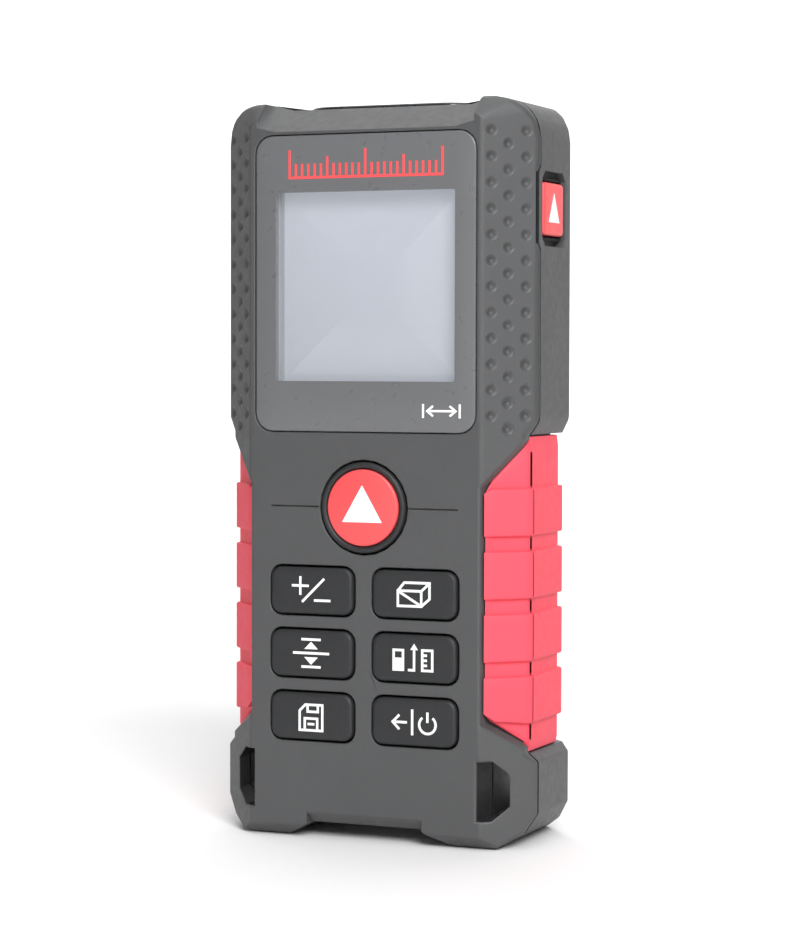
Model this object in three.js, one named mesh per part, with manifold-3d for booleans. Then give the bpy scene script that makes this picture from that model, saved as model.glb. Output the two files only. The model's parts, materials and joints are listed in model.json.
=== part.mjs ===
// Handheld laser distance meter, standing on its two feet, display towards -Y.
//
// Frame: millimetres, +Z up, +X to the right of someone reading the display.
// The origin is the middle of the footprint, on the surface the feet stand on.
// Depths are measured from the front face towards the back.

import * as THREE from "three";
import { mergeVertices } from "three/addons/utils/BufferGeometryUtils.js";
import Module from "manifold-3d";

const wasm = await Module();
wasm.setup();

// ---------------------------------------------------------------- overall sizes
const BODY_WIDTH = 54;
const BODY_DEPTH = 28;
const BODY_HEIGHT = 118; // to the raised top corners
const KEY_PROUD = 0.5; // function keys in front of the front face
const CAP_PROUD = 0.6; // red cap of the measure key in front of the front face

const HALF = BODY_WIDTH / 2;
const FRONT = (CAP_PROUD - BODY_DEPTH) / 2; // y of the front face
const BACK = FRONT + BODY_DEPTH; // y of the rear face

// ---------------------------------------------------------------- walls and gaps
const WALL = 2;
const GAP = 0.3; // between pieces that seat on each other
const KEY_GAP = 0.35; // round a key in its opening
const PARTING_GAP = 0.5; // groove between the two housings
const PARTING_DEPTH = 7.35; // middle of that groove
const THROUGH = 3; // how far a cutter runs past what it cuts
const LAP = 0.1; // how far joined solids run into each other
const FRONT_WALL = 2.2;
const BEVEL_WALL = { across: 0.6, deep: 0.9 }; // extra wall at the side bevels

// ---------------------------------------------------------------- bevels and outline
const BEVEL_WIDTH = 7; // side bevel, across
const BEVEL_DEPTH = 6.5; // side bevel, front to back
const FLAT_HALF = HALF - BEVEL_WIDTH; // half width of the flat front face
const TOP_ARC = 6.3; // radius of the top corners
const TOP_ARC_STEPS = 4;
const TOP_RECESS_HALF = 13.1; // middle of the top edge, lower than the corners
const TOP_RECESS_DROP = 0.8;
const HORN_INNER = 18.7; // where a top corner reaches its full height
const FOOT_CUT = 5.2; // bevel of the bottom corners
const FOOT_FACET = 2.1; // middle of that bevel, in from the side and up from the base
const BASE_BEVEL = { depth: 2.5, rise: 1.8 }; // under the front face
const FOOT_INNER = 14; // inner edge of a foot
const ARCH_HALF = 10; // half width of the raised middle of the base
const ARCH_RISE = 2.2;
const TOP_BEVEL = 3; // bevel along the front of the top corners
const BROW_DROP = 4.9; // front edge of the slope above the display, below the full height
const BROW_HALF = 15.5; // half width of that slope

// ---------------------------------------------------------------- grips
const GRIP_BOTTOM = 14.7;
const GRIP_TOP = 65;
const GRIP_HALF = HALF - 1; // half width over the ribs
const GRIP_THICKNESS = 1.3;
const RIB_RISE = 0.55;
const RIB_COUNT = 4;
const RIB_HEIGHT = 7.5;
const RIB_PITCH = 9.87;
const FIRST_RIB = 19.5; // bottom of the lowest rib
const GRIP_STEP = 2; // where a grip's bevel starts, below the front face
const GRIP_LIP = 1; // how far the grip's edge rises towards the housing
const GRIP_FACET = 1.4; // narrow facet between the housing edge and the grip's bevel
const CORE_WALL = 1.7; // housing wall under the grips
const CORE_EDGE_WALL = 1.8; // housing wall beside the grips
const CORE_CORNER = 0.7; // how far the inner corners move in
const HEAD_WALL = 1.6; // housing wall over the grips
const GRIP_INNER = FLAT_HALF - 0.1; // housing edge beside the grip
const HEAD_TAPER = 2.6; // height of the flare under the head
const FOOT_TAPER = 1.5; // height of the flare above the foot
const DIAGONAL_TOP = 8; // rise of the housing's edge above the grip
const DIAGONAL_BOTTOM = 5; // fall of the housing's edge below the grip

// ---------------------------------------------------------------- display
const WINDOW = { x: 0, z: BODY_HEIGHT - 29.1, width: 38, height: 47.2, radius: 3, thickness: 1.2 };
const VIEW = { x: WINDOW.x, z: WINDOW.z - 0.5, width: 31, height: 30.1 };
const LCD_DEPTH = 3;
const LCD_THICKNESS = 0.8;
const LCD_BORDER = 1.8;
const BACKLIGHT = { thickness: 0.8, margin: 0.2 };
const FRAME_WALL = 1.4;
const VIEW_MARGIN = 1; // housing opening past the clear area, above and below
const RIBBON = { left: -8, right: 4, setBack: 1.2, bend: 1.2, slope: 2.2, tail: 1.8, thickness: 0.3 };

// ---------------------------------------------------------------- keys
const KEY_WIDTH = 14.3;
const KEY_HEIGHT = 7.5;
const KEY_RADIUS = 1.7;
const KEY_WEB = { across: 2.8, down: 1.9 }; // housing left between two openings
const KEY_COLUMN = (KEY_WIDTH + KEY_WEB.across) / 2 + KEY_GAP; // key centres from the middle
const KEY_BOTTOM_ROW = 19.6;
const KEY_ROW_PITCH = KEY_HEIGHT + 2 * KEY_GAP + KEY_WEB.down;
const KEY_TOP_EDGE = KEY_BOTTOM_ROW + 2 * KEY_ROW_PITCH + KEY_HEIGHT / 2 + KEY_GAP;
const KEY_BASE = 3.4; // depth of a key's underside
const PILL_RADIUS = 1.8;
const PILL_THICKNESS = 1;
const CAP_LIP = 0.15; // cap in front of its ring
const MEASURE_KEY = { radius: 7.25, rim: 1.15, web: 1.8, recess: 0.8 };
MEASURE_KEY.z = KEY_TOP_EDGE + MEASURE_KEY.web + KEY_GAP + MEASURE_KEY.radius;
MEASURE_KEY.capRadius = MEASURE_KEY.radius - MEASURE_KEY.rim;
const MAT_DEPTH = 2.5;
const MAT_THICKNESS = 0.6;
const MAT_MARGIN = 1.2;
const SIDE_KEY = { width: 8.9, height: 8.3, radius: 0.8 };
SIDE_KEY.depth = PARTING_DEPTH + 6.3; // its middle, front to back
SIDE_KEY.z = BODY_HEIGHT - 17.35;
const SIDE_RECESS = { width: 10.8, height: 11.8, floor: 1.6, corner: 1.3 };
const SIDE_KEY_LENGTH = 4.6;
const SIDE_SEAL = { width: 0.75, thickness: 0.6 };
const JOG = 0.9; // how far the parting groove steps forward beside the side key
const JOG_INSET = 0.4; // the stepped stretch, inside the recess's ends

// ---------------------------------------------------------------- lanyard slots
const SLOT = { width: 4.3, top: 13.8, bottom: 4.5, cutTop: 2.1, cutBottom: 2.2 };
SLOT.inner = FLAT_HALF - 0.7;
SLOT.outer = SLOT.inner + SLOT.width;

// ---------------------------------------------------------------- boards and switches
const BOARD_DEPTH = 5.3;
const BOARD_THICKNESS = 1.2;
const BOARD_HALF_HEAD = HALF - 5.4;
const BOARD_HALF_WAIST = GRIP_INNER - 2.3;
const BOARD_TOP = BODY_HEIGHT - 11.2;
const BOARD_SCREW = { x: 14.5, z: MEASURE_KEY.z + MEASURE_KEY.radius + 3.05 };
const SWITCH_SIDE = 6;
const SWITCH_HEIGHT = 0.8;
const SWITCH_CORNER = 0.6;
const PLUNGER_RADIUS = 1.1;
const PLUNGER_LENGTH = 0.7;
const PLUNGER_STANDOFF = 0.4; // how far a plunger stands out of its switch
const BOARD_SHOULDER = { low: 1, high: 5 }; // above the waist's end
const SIDE_BOARD = { ahead: 4.6, behind: 5, half: 6 }; // round the side key's middle
const CHIP = { x: 1, z: 40, side: 8, thickness: 1 };

// ---------------------------------------------------------------- batteries
const CELL_RADIUS = 5.15;
const CELL_LENGTH = 44.5;
const CELL_BUTTON = { radius: 1.9, height: 1 };
const CELL_SIDE_WALL = 0.65; // between a cell and the bay's side
const CELL_CLEARANCE = 0.45; // each side of a cell's middle plane
const CELL_HEADROOM = 2; // between the cells and the door, with the gap under them
const SPRING_SPACE = 5.1; // the bay's length past the cells
const CELL_SPACING = CELL_RADIUS + CELL_CLEARANCE; // cell axes from the middle
const BAY_HALF = CELL_SPACING + CELL_RADIUS + CELL_SIDE_WALL;
const BAY_BOTTOM = 18.7;
const BAY_TOP = BAY_BOTTOM + CELL_LENGTH + SPRING_SPACE;
const BAY_WALL = 1.4;
const DOOR_LAP = 1.7; // door past the bay, above and below
const DOOR = { half: BAY_HALF + 1.8, thickness: 1.6, latchHalf: 4.2, latchHeight: 6 };
DOOR.bottom = BAY_BOTTOM - DOOR_LAP;
DOOR.top = BAY_TOP + DOOR_LAP;
const BAY_FLOOR_DEPTH = BODY_DEPTH - DOOR.thickness - 2 * CELL_RADIUS - CELL_HEADROOM;
const DOOR_FLANGE = 1.5;
const DOOR_FOOT_GAP = 0.5; // under the door, where it turns
const LATCH_SLOT_HALF = 0.3;
const THUMB_SCOOP = { margin: 1, depth: 0.6 };
const LATCH_LEG = { half: 3.2, length: 1.8, bottom: BAY_TOP + 0.5, top: BAY_TOP + 1.5 };
const TAB = { x: 7, half: 2, reach: 1.4, thickness: 0.8, neck: 1.5, depth: 1.7, setBack: 0.4 };
const TAB_POCKET = { depth: 2.4, rise: 1 };
const SPRING = { wire: 0.35, base: 3.4, taper: 1.2, turns: 3, stepsPerTurn: 8 };
const CONTACT_THICKNESS = 0.3;
const CONTACT_HALF = 4;
const LEAD_RADIUS = 0.5;

// ---------------------------------------------------------------- rear label
const LABEL = { half: 14, bottom: DOOR.top + 8, height: 23, thickness: 0.3 };
LABEL.top = LABEL.bottom + LABEL.height;

// ---------------------------------------------------------------- optics
const RECEIVER = { x: 4.5, radius: 7.2 };
const EMITTER = { x: -9.5, radius: 3.1 };
const CHASSIS = { half: 14.2, front: PARTING_DEPTH + 1.05, back: BODY_DEPTH - 3.6 };
CHASSIS.bottom = BODY_HEIGHT - 39;
CHASSIS.top = BODY_HEIGHT - 3;
const CHASSIS_RIB = { inner: 8, outer: 10, bottom: CHASSIS.bottom + 5, top: CHASSIS.top - 7 };
const BEZEL = { half: 14.6, front: PARTING_DEPTH + 0.55, back: BODY_DEPTH - 3.9 };
BEZEL.radius = 5;
BEZEL.drop = 0.3; // below the raised corners
BEZEL.thickness = 2.5;
const OPTICS_DEPTH = (BEZEL.front + BEZEL.back) / 2;
const PINHOLE_RADIUS = 1.2;
const RECEIVER_LENS = { below: 3, edge: 1.1, rim: 0.4, shoulder: 1.3, crown: 1.7 }; // heights
const BARREL = { bottom: 4, top: 6, boreFloor: 9, bore: 1.8 }; // from the chassis's ends
const COLLIMATOR = { top: 3.6, thickness: 2, clearance: 0.4 };
const DETECTOR = { radius: 3, height: 2.9 };
const OPTIC_WINDOW = { bottom: 0.6, thickness: 1 }; // from the bezel's underside
const BEZEL_LIP = { receiver: 0.4, emitter: 0.3 }; // bezel openings inside the bores

// ---------------------------------------------------------------- fasteners
const BOSS_RADIUS = 2.7;
const REAR_BOSS_RADIUS = BOSS_RADIUS + 0.4;
const BOARD_BOSS_RADIUS = 2.1;
const SCREW_HOLE = 1.15;
const SCREW_SHANK = 0.85;
const SCREW_HEAD = 2;
const SCREW_HEAD_HEIGHT = 1.5;
const SCREW_NECK = 0.5; // shank's run into the head
const CROSS = { half: 1.2, width: 0.6, depth: 0.7 }; // cross recess
const SCREW_SEAT_DEPTH = 13; // depth of the screw heads' seats
const SCREW_HOLE_FLOOR = WALL + 0.6;
const SCREW_TIP_DEPTH = WALL + 1.2;
const TOP_BOSS = { x: FLAT_HALF - 2.4, z: BODY_HEIGHT - 7.4 };
const BOTTOM_BOSS = { x: 12, z: 9.4 };
const BUZZER = { x: -12, radius: 4.5, thickness: 2.6 };
BUZZER.z = (BOARD_SCREW.z + SCREW_HEAD + CHASSIS.bottom) / 2; // between screw and chassis
const ROUND_SIDES = 24;
const MEDIUM_SIDES = 16;
const SMALL_SIDES = 12;

// ---------------------------------------------------------------- materials
const material = (color, roughness, metalness = 0) =>
  new THREE.MeshStandardMaterial({ color, roughness, metalness });
const MATERIALS = {
  housing: material(0x4a4b4c, 0.6),
  grip: material(0xf0303c, 0.65),
  windowPanel: material(0x77787c, 0.15),
  key: material(0x2f3033, 0.6),
  redKey: material(0xf23c40, 0.45),
  lcd: material(0xc2c7d2, 0.25),
  lightGuide: material(0xe8ecf0, 0.4),
  rubber: material(0x151515, 0.8),
  board: material(0x1f6b3a, 0.5),
  chip: material(0x202020, 0.5),
  steel: material(0xc8c8c8, 0.35, 1),
  brass: material(0xc8a048, 0.35, 1),
  aluminium: material(0xa8abb0, 0.45, 1),
  blackPlastic: material(0x101112, 0.35),
  glass: material(0x9fb4c4, 0.05),
  cell: material(0x3a5a86, 0.4),
  label: material(0xb8b9bb, 0.5),
  redLead: material(0xb02020, 0.6),
  blackLead: material(0x181818, 0.6),
};

// ---------------------------------------------------------------- solids
const at = (depth) => FRONT + depth;

function solid(geometry) {
  const bare = geometry.index ? geometry.toNonIndexed() : geometry.clone();
  bare.deleteAttribute("normal");
  bare.deleteAttribute("uv");
  const merged = mergeVertices(bare, 1e-4);
  return new wasm.Manifold(
    new wasm.Mesh({
      numProp: 3,
      vertProperties: new Float32Array(merged.attributes.position.array),
      triVerts: new Uint32Array(merged.index.array),
    }),
  );
}

const cut = (body, ...cutters) => cutters.reduce((left, cutter) => left.subtract(cutter), body);
const join = (first, ...others) => others.reduce((sum, other) => sum.add(other), first);
const common = (first, ...others) => others.reduce((left, other) => left.intersect(other), first);

// A shape extruded along a row axis. Shape coordinates are (x, z) for Y, (x, y) for Z, (y, z) for X.
const [AXIS_X, AXIS_Y, AXIS_Z] = [[1, 0, 0], [0, 1, 0], [0, 0, 1]].map((v) => new THREE.Vector3(...v));
const BASES = {
  Y: new THREE.Matrix4().makeBasis(AXIS_X, AXIS_Z, AXIS_Y.clone().negate()),
  Z: new THREE.Matrix4().makeBasis(AXIS_X, AXIS_Y, AXIS_Z),
  X: new THREE.Matrix4().makeBasis(AXIS_Y, AXIS_Z, AXIS_X),
};

function prismGeometry(axis, shape, from, to, curveSegments = 2) {
  const geometry = new THREE.ExtrudeGeometry(shape, {
    depth: to - from,
    bevelEnabled: false,
    steps: 1,
    curveSegments,
  });
  geometry.applyMatrix4(BASES[axis]);
  const start = axis === "Y" ? to : from;
  const offset = { X: [start, 0, 0], Y: [0, start, 0], Z: [0, 0, start] }[axis];
  return geometry.translate(...offset);
}

const prism = (...sizes) => solid(prismGeometry(...sizes));

// Everything on the outer side of a plane, as a block large enough for this body.
function beyondPlane(normal, point) {
  const reach = 2 * BODY_HEIGHT;
  const turn = new THREE.Quaternion().setFromUnitVectors(AXIS_Z, normal);
  const geometry = new THREE.BoxGeometry(reach, reach, reach).translate(0, 0, reach / 2);
  return solid(geometry.applyQuaternion(turn).translate(point.x, point.y, point.z));
}

const polygon = (points) => new THREE.Shape(points.map(([a, b]) => new THREE.Vector2(a, b)));
const mirrored = (points) => points.map(([a, b]) => [-a, b]).reverse();
const symmetric = (rightHalf) => polygon([...rightHalf, ...mirrored(rightHalf)]);

// A rectangle with round corners, centred at (a, b).
function roundedRectangle(a, b, width, height, radius) {
  const [w, h] = [width / 2 - radius, height / 2 - radius];
  const shape = new THREE.Shape();
  shape.absarc(a + w, b + h, radius, 0, Math.PI / 2);
  shape.absarc(a - w, b + h, radius, Math.PI / 2, Math.PI);
  shape.absarc(a - w, b - h, radius, Math.PI, Math.PI * 1.5);
  shape.absarc(a + w, b - h, radius, Math.PI * 1.5, Math.PI * 2);
  shape.closePath();
  return shape;
}

function block(x, y, z) {
  const geometry = new THREE.BoxGeometry(x[1] - x[0], y[1] - y[0], z[1] - z[0]);
  return solid(geometry.translate((x[0] + x[1]) / 2, (y[0] + y[1]) / 2, (z[0] + z[1]) / 2));
}

// A full circle becomes twice curveSegments sides.
function rod(axis, [a, b], radius, from, to, sides = ROUND_SIDES) {
  const circle = new THREE.Shape().absarc(a, b, radius, 0, Math.PI * 2);
  return prism(axis, circle, from, to, sides / 2);
}

const both = (make) => [-1, 1].map(make);

// ---------------------------------------------------------------- body envelope
const cornerAngle = (i) => (i / TOP_ARC_STEPS) * (Math.PI / 2);

function onTopArc(angle, inset) {
  const radius = TOP_ARC - inset;
  return [
    HALF - TOP_ARC + radius * Math.cos(angle),
    BODY_HEIGHT - TOP_ARC + radius * Math.sin(angle),
  ];
}

const topArc = (inset) =>
  Array.from({ length: TOP_ARC_STEPS + 1 }, (_, i) => onTopArc(cornerAngle(i), inset));

const outline = symmetric([
  [ARCH_HALF, ARCH_RISE],
  [FOOT_INNER, 0],
  [HALF - FOOT_CUT, 0],
  [HALF - FOOT_FACET, FOOT_FACET],
  [HALF, FOOT_CUT],
  ...topArc(0),
  [HORN_INNER, BODY_HEIGHT],
  [TOP_RECESS_HALF, BODY_HEIGHT - TOP_RECESS_DROP],
]);

// Level section of the head and the foot, with the four long bevels.
const section = symmetric([
  [FLAT_HALF, FRONT],
  [HALF, at(BEVEL_DEPTH)],
  [HALF, at(BODY_DEPTH - BEVEL_DEPTH)],
  [FLAT_HALF, BACK],
]);

// The slope over the display rises from front to back, between the raised corners.
const BROW_END = PARTING_DEPTH - PARTING_GAP / 2;
const BROW_SLOPE = (BROW_DROP - TOP_RECESS_DROP) / BROW_END;

function brow(drop) {
  const low = BODY_HEIGHT - BROW_DROP - drop;
  const high = low + TOP_RECESS_DROP;
  const shape = symmetric([
    [BROW_HALF, low],
    [HORN_INNER, high],
    [HORN_INNER, BODY_HEIGHT + THROUGH],
  ]);
  const geometry = prismGeometry("Y", shape, FRONT - THROUGH, at(BROW_END));
  const shear = new THREE.Matrix4().set(
    1, 0, 0, 0,
    0, 1, 0, 0,
    0, BROW_SLOPE, 1, -BROW_SLOPE * FRONT,
    0, 0, 0, 1,
  );
  return solid(geometry.applyMatrix4(shear));
}

// Bevels round a top corner turn gradually from the side's bevel to the top's.
function cornerBevel(sign, angle) {
  const share = angle / (Math.PI / 2);
  const width = BEVEL_WIDTH + (TOP_BEVEL - BEVEL_WIDTH) * share;
  const depth = BEVEL_DEPTH + (TOP_BEVEL - BEVEL_DEPTH) * share;
  const [x, z] = onTopArc(angle, 0);
  const normal = new THREE.Vector3(
    sign * depth * Math.cos(angle),
    -width,
    depth * Math.sin(angle),
  ).normalize();
  return beyondPlane(normal, new THREE.Vector3(sign * x, at(depth), z));
}

const cornerBevels = both((sign) =>
  Array.from({ length: TOP_ARC_STEPS }, (_, i) => cornerBevel(sign, cornerAngle(i + 1))),
).flat();

// The bevel under the front face, over the feet and, higher up, along the raised middle.
function baseBevel(half, rise) {
  const shape = polygon([
    [FRONT - THROUGH, rise - THROUGH],
    [at(BASE_BEVEL.depth), rise - THROUGH],
    [at(BASE_BEVEL.depth), rise],
    [FRONT, rise + BASE_BEVEL.rise],
    [FRONT - THROUGH, rise + BASE_BEVEL.rise],
  ]);
  return prism("X", shape, -half, half);
}

const envelope = cut(
  common(prism("Y", outline, FRONT, BACK), prism("Z", section, 0, BODY_HEIGHT)),
  brow(0),
  baseBevel(HALF, 0),
  baseBevel(ARCH_HALF, ARCH_RISE),
  ...cornerBevels,
);

// ---------------------------------------------------------------- waist and grips
// Points of the grip's level section on the right, from its front flat round to its rear flat.
function gripSkin(drop) {
  const side = GRIP_HALF - drop;
  const flat = GRIP_STEP + drop;
  const bevelStart = side - (GRIP_HALF - FLAT_HALF - GRIP_FACET);
  const bevelDepth = flat + side - bevelStart;
  return { side, flat, bevelStart, bevelDepth };
}

function gripSection(sign, drop, fromDepth, toDepth) {
  const outer = gripSkin(drop);
  const inner = gripSkin(GRIP_THICKNESS);
  const edge = GRIP_INNER + GAP;
  const ring = [
    [edge, outer.flat - GRIP_LIP],
    [outer.bevelStart, outer.flat],
    [outer.side, outer.bevelDepth],
    [outer.side, BODY_DEPTH - outer.bevelDepth],
    [outer.bevelStart, BODY_DEPTH - outer.flat],
    [edge, BODY_DEPTH - outer.flat + GRIP_LIP],
    [edge, BODY_DEPTH - inner.flat],
    [inner.bevelStart, BODY_DEPTH - inner.flat],
    [inner.side, BODY_DEPTH - inner.bevelDepth],
    [inner.side, inner.bevelDepth],
    [inner.bevelStart, inner.flat],
    [edge, inner.flat],
  ];
  const points = ring.map(([x, depth]) => [sign * x, at(depth)]);
  const shape = polygon(sign > 0 ? points : points.reverse());
  const zone = block([-HALF, HALF], [at(fromDepth), at(toDepth)], [0, BODY_HEIGHT]);
  return (from, to) => common(prism("Z", shape, from, to), zone);
}

// The part of the front view that a grip fills, grown or shrunk by a margin.
function gripWindow(sign, margin) {
  const inner = GRIP_INNER - margin;
  const points = [
    [inner, GRIP_BOTTOM + DIAGONAL_BOTTOM - margin],
    [HALF, GRIP_BOTTOM - margin],
    [HALF + THROUGH, GRIP_BOTTOM - margin],
    [HALF + THROUGH, GRIP_TOP + margin],
    [GRIP_HALF, GRIP_TOP + margin],
    [inner, GRIP_TOP - DIAGONAL_TOP + margin],
  ].map(([x, z]) => [sign * x, z]);
  return polygon(sign > 0 ? points : points.reverse());
}

function rearWindow(sign, margin) {
  const [a, b] = [GRIP_INNER - margin, HALF + THROUGH];
  return block(
    sign > 0 ? [a, b] : [-b, -a],
    [at(PARTING_DEPTH), BACK + THROUGH],
    [GRIP_BOTTOM - margin, GRIP_TOP + margin],
  );
}

const frontWindow = (sign, margin) =>
  prism("Y", gripWindow(sign, margin), FRONT - THROUGH, at(PARTING_DEPTH));

function grip(sign, isFront) {
  const parting = PARTING_DEPTH + (isFront ? -PARTING_GAP / 2 : PARTING_GAP / 2);
  const range = isFront ? [0, parting] : [parting, BODY_DEPTH];
  const base = gripSection(sign, RIB_RISE, ...range)(GRIP_BOTTOM, GRIP_TOP);
  const rib = gripSection(sign, 0, ...range);
  const ribs = Array.from({ length: RIB_COUNT }, (_, i) => {
    const bottom = FIRST_RIB + i * RIB_PITCH;
    return rib(bottom, bottom + RIB_HEIGHT);
  });
  const zone = isFront ? frontWindow(sign, -GAP) : rearWindow(sign, -GAP);
  return common(join(base, ...ribs), zone);
}

// The rigid core under the grips.
const coreSkin = gripSkin(GRIP_THICKNESS + GAP);
const core = prism(
  "Z",
  symmetric([
    [GRIP_INNER, FRONT],
    [GRIP_INNER, at(coreSkin.flat)],
    [coreSkin.bevelStart, at(coreSkin.flat)],
    [coreSkin.side, at(coreSkin.bevelDepth)],
    [coreSkin.side, at(BODY_DEPTH - coreSkin.bevelDepth)],
    [coreSkin.bevelStart, at(BODY_DEPTH - coreSkin.flat)],
    [GRIP_INNER, at(BODY_DEPTH - coreSkin.flat)],
    [GRIP_INNER, BACK],
  ]),
  0,
  BODY_HEIGHT,
);

const flareCut = (sign) => {
  const side = GRIP_HALF - RIB_RISE;
  const points = [
    [side, GRIP_BOTTOM],
    [HALF + GAP, GRIP_BOTTOM - FOOT_TAPER],
    [HALF + THROUGH, GRIP_BOTTOM - FOOT_TAPER],
    [HALF + THROUGH, GRIP_TOP + HEAD_TAPER],
    [HALF + GAP, GRIP_TOP + HEAD_TAPER],
    [side, GRIP_TOP],
  ].map(([x, z]) => [sign * x, z]);
  return prism("Y", polygon(sign > 0 ? points : points.reverse()), FRONT - THROUGH, BACK + THROUGH);
};

const gripCutters = [
  ...both((sign) => cut(frontWindow(sign, 0), core)),
  ...both((sign) => cut(rearWindow(sign, 0), core)),
  ...both(flareCut),
];
const body = cut(envelope, ...gripCutters);

// ---------------------------------------------------------------- cavity
const CAVITY = {
  floor: ARCH_RISE + WALL,
  footHalf: SLOT.inner - WALL,
  footTop: SLOT.top + WALL,
  waistHalf: coreSkin.side - CORE_WALL,
  headHalf: HALF - WALL,
  headBottom: GRIP_TOP + HEAD_WALL,
};

const cavityOutline = symmetric([
  [CAVITY.footHalf, CAVITY.floor],
  [CAVITY.footHalf, CAVITY.footTop],
  [CAVITY.waistHalf, CAVITY.footTop + WALL],
  [CAVITY.waistHalf, GRIP_TOP - DIAGONAL_TOP / 2],
  [CAVITY.headHalf, CAVITY.headBottom],
  ...topArc(WALL),
]);

const cavityDepths = [FRONT_WALL, BODY_DEPTH - WALL];
const headBevel = BEVEL_DEPTH + BEVEL_WALL.deep;
const headSection = symmetric([
  [FLAT_HALF - BEVEL_WALL.across, at(cavityDepths[0])],
  [CAVITY.headHalf, at(headBevel)],
  [CAVITY.headHalf, at(BODY_DEPTH - headBevel)],
  [FLAT_HALF - BEVEL_WALL.across, at(cavityDepths[1])],
]);
const waistInner = GRIP_INNER - CORE_EDGE_WALL;
const waistStep = coreSkin.flat + CORE_WALL;
const waistBevel = [coreSkin.bevelStart - CORE_CORNER, coreSkin.bevelDepth + CORE_CORNER];
const waistSection = symmetric([
  [waistInner, at(cavityDepths[0])],
  [waistInner, at(waistStep)],
  [waistBevel[0], at(waistStep)],
  [CAVITY.waistHalf, at(waistBevel[1])],
  [CAVITY.waistHalf, at(BODY_DEPTH - waistBevel[1])],
  [waistBevel[0], at(BODY_DEPTH - waistStep)],
  [waistInner, at(BODY_DEPTH - waistStep)],
  [waistInner, at(cavityDepths[1])],
]);

const cavity = cut(common(
  prism("Y", cavityOutline, at(cavityDepths[0]), at(cavityDepths[1])),
  join(
    prism("Z", waistSection, 0, CAVITY.headBottom),
    prism("Z", headSection, CAVITY.headBottom, BODY_HEIGHT - TOP_RECESS_DROP - WALL),
  ),
), brow(1.3 * WALL));

// ---------------------------------------------------------------- parting
// The groove steps forward beside the side key, on the right only.
function rearRegion(shift) {
  const line = PARTING_DEPTH + shift;
  const [low, high] = both((s) => SIDE_KEY.z + s * (SIDE_RECESS.height / 2 - JOG_INSET));
  const ahead = polygon([
    [at(line), low - JOG],
    [at(line), high + JOG],
    [at(line - JOG), high],
    [at(line - JOG), low],
  ].reverse());
  const jog = prism("X", ahead, FLAT_HALF, HALF + THROUGH);
  const rest = block(
    [-HALF - THROUGH, HALF + THROUGH],
    [at(line), BACK + THROUGH],
    [-THROUGH, BODY_HEIGHT + THROUGH],
  );
  return join(rest, jog);
}

const rearSide = rearRegion(PARTING_GAP / 2);
const behindFront = rearRegion(-PARTING_GAP / 2);

// ---------------------------------------------------------------- openings
const keyCentres = [-1, 1].flatMap((side) =>
  [2, 1, 0].map((row) => [side * KEY_COLUMN, KEY_BOTTOM_ROW + row * KEY_ROW_PITCH]),
);

const keyOpening = ([x, z], grow) =>
  roundedRectangle(x, z, KEY_WIDTH + 2 * grow, KEY_HEIGHT + 2 * grow, KEY_RADIUS + grow);

const slotShape = (sign) => {
  const points = [
    [SLOT.inner, SLOT.bottom],
    [SLOT.outer - SLOT.cutBottom, SLOT.bottom],
    [SLOT.outer, SLOT.bottom + SLOT.cutBottom],
    [SLOT.outer, SLOT.top - SLOT.cutTop],
    [SLOT.outer - SLOT.cutTop, SLOT.top],
    [SLOT.inner, SLOT.top],
  ].map(([x, z]) => [sign * x, z]);
  return polygon(sign > 0 ? points : points.reverse());
};
const slots = both((sign) => prism("Y", slotShape(sign), FRONT - THROUGH, BACK + THROUGH));

// ---------------------------------------------------------------- front housing
function frontHousing() {
  const windowSeat = prism(
    "Y",
    roundedRectangle(WINDOW.x, WINDOW.z, WINDOW.width + GAP, WINDOW.height + GAP, WINDOW.radius),
    FRONT - THROUGH,
    at(WINDOW.thickness + GAP),
  );
  const viewOpening = block(
    [VIEW.x - VIEW.width / 2 - LCD_BORDER, VIEW.x + VIEW.width / 2 + LCD_BORDER],
    [FRONT, at(WALL + THROUGH)],
    [VIEW.z - VIEW.height / 2 - VIEW_MARGIN, VIEW.z + VIEW.height / 2 + VIEW_MARGIN],
  );
  const keyCutters = keyCentres.map((centre) =>
    prism("Y", keyOpening(centre, KEY_GAP), FRONT - THROUGH, at(WALL + THROUGH)),
  );
  const measureHole = rod(
    "Y",
    [0, MEASURE_KEY.z],
    MEASURE_KEY.radius + KEY_GAP,
    FRONT - THROUGH,
    at(WALL + THROUGH),
    ROUND_SIDES,
  );
  const bossLength = [at(WALL), at(PARTING_DEPTH - PARTING_GAP / 2)];
  const housingBosses = [TOP_BOSS, BOTTOM_BOSS].flatMap(({ x, z }) =>
    both((s) => rod("Y", [s * x, z], BOSS_RADIUS, ...bossLength)),
  );
  const boardBosses = both((s) =>
    rod("Y", [s * BOARD_SCREW.x, BOARD_SCREW.z], BOARD_BOSS_RADIUS, at(WALL), at(BOARD_DEPTH - GAP)),
  );
  const screwHoles = [TOP_BOSS, BOTTOM_BOSS, BOARD_SCREW].flatMap(({ x, z }) =>
    both((s) => rod("Y", [s * x, z], SCREW_HOLE, at(SCREW_HOLE_FLOOR), at(BODY_DEPTH))),
  );
  const shell = cut(body, behindFront, cavity);
  const filled = join(shell, ...housingBosses.map((b) => common(b, body)), ...boardBosses);
  return cut(filled, windowSeat, viewOpening, ...keyCutters, measureHole, ...screwHoles, ...slots);
}

// ---------------------------------------------------------------- rear housing
const doorRebate = block(
  [-DOOR.half - GAP, DOOR.half + GAP],
  [at(BODY_DEPTH - DOOR.thickness - GAP), BACK + THROUGH],
  [DOOR.bottom - DOOR_FOOT_GAP, DOOR.top + GAP],
);

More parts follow.
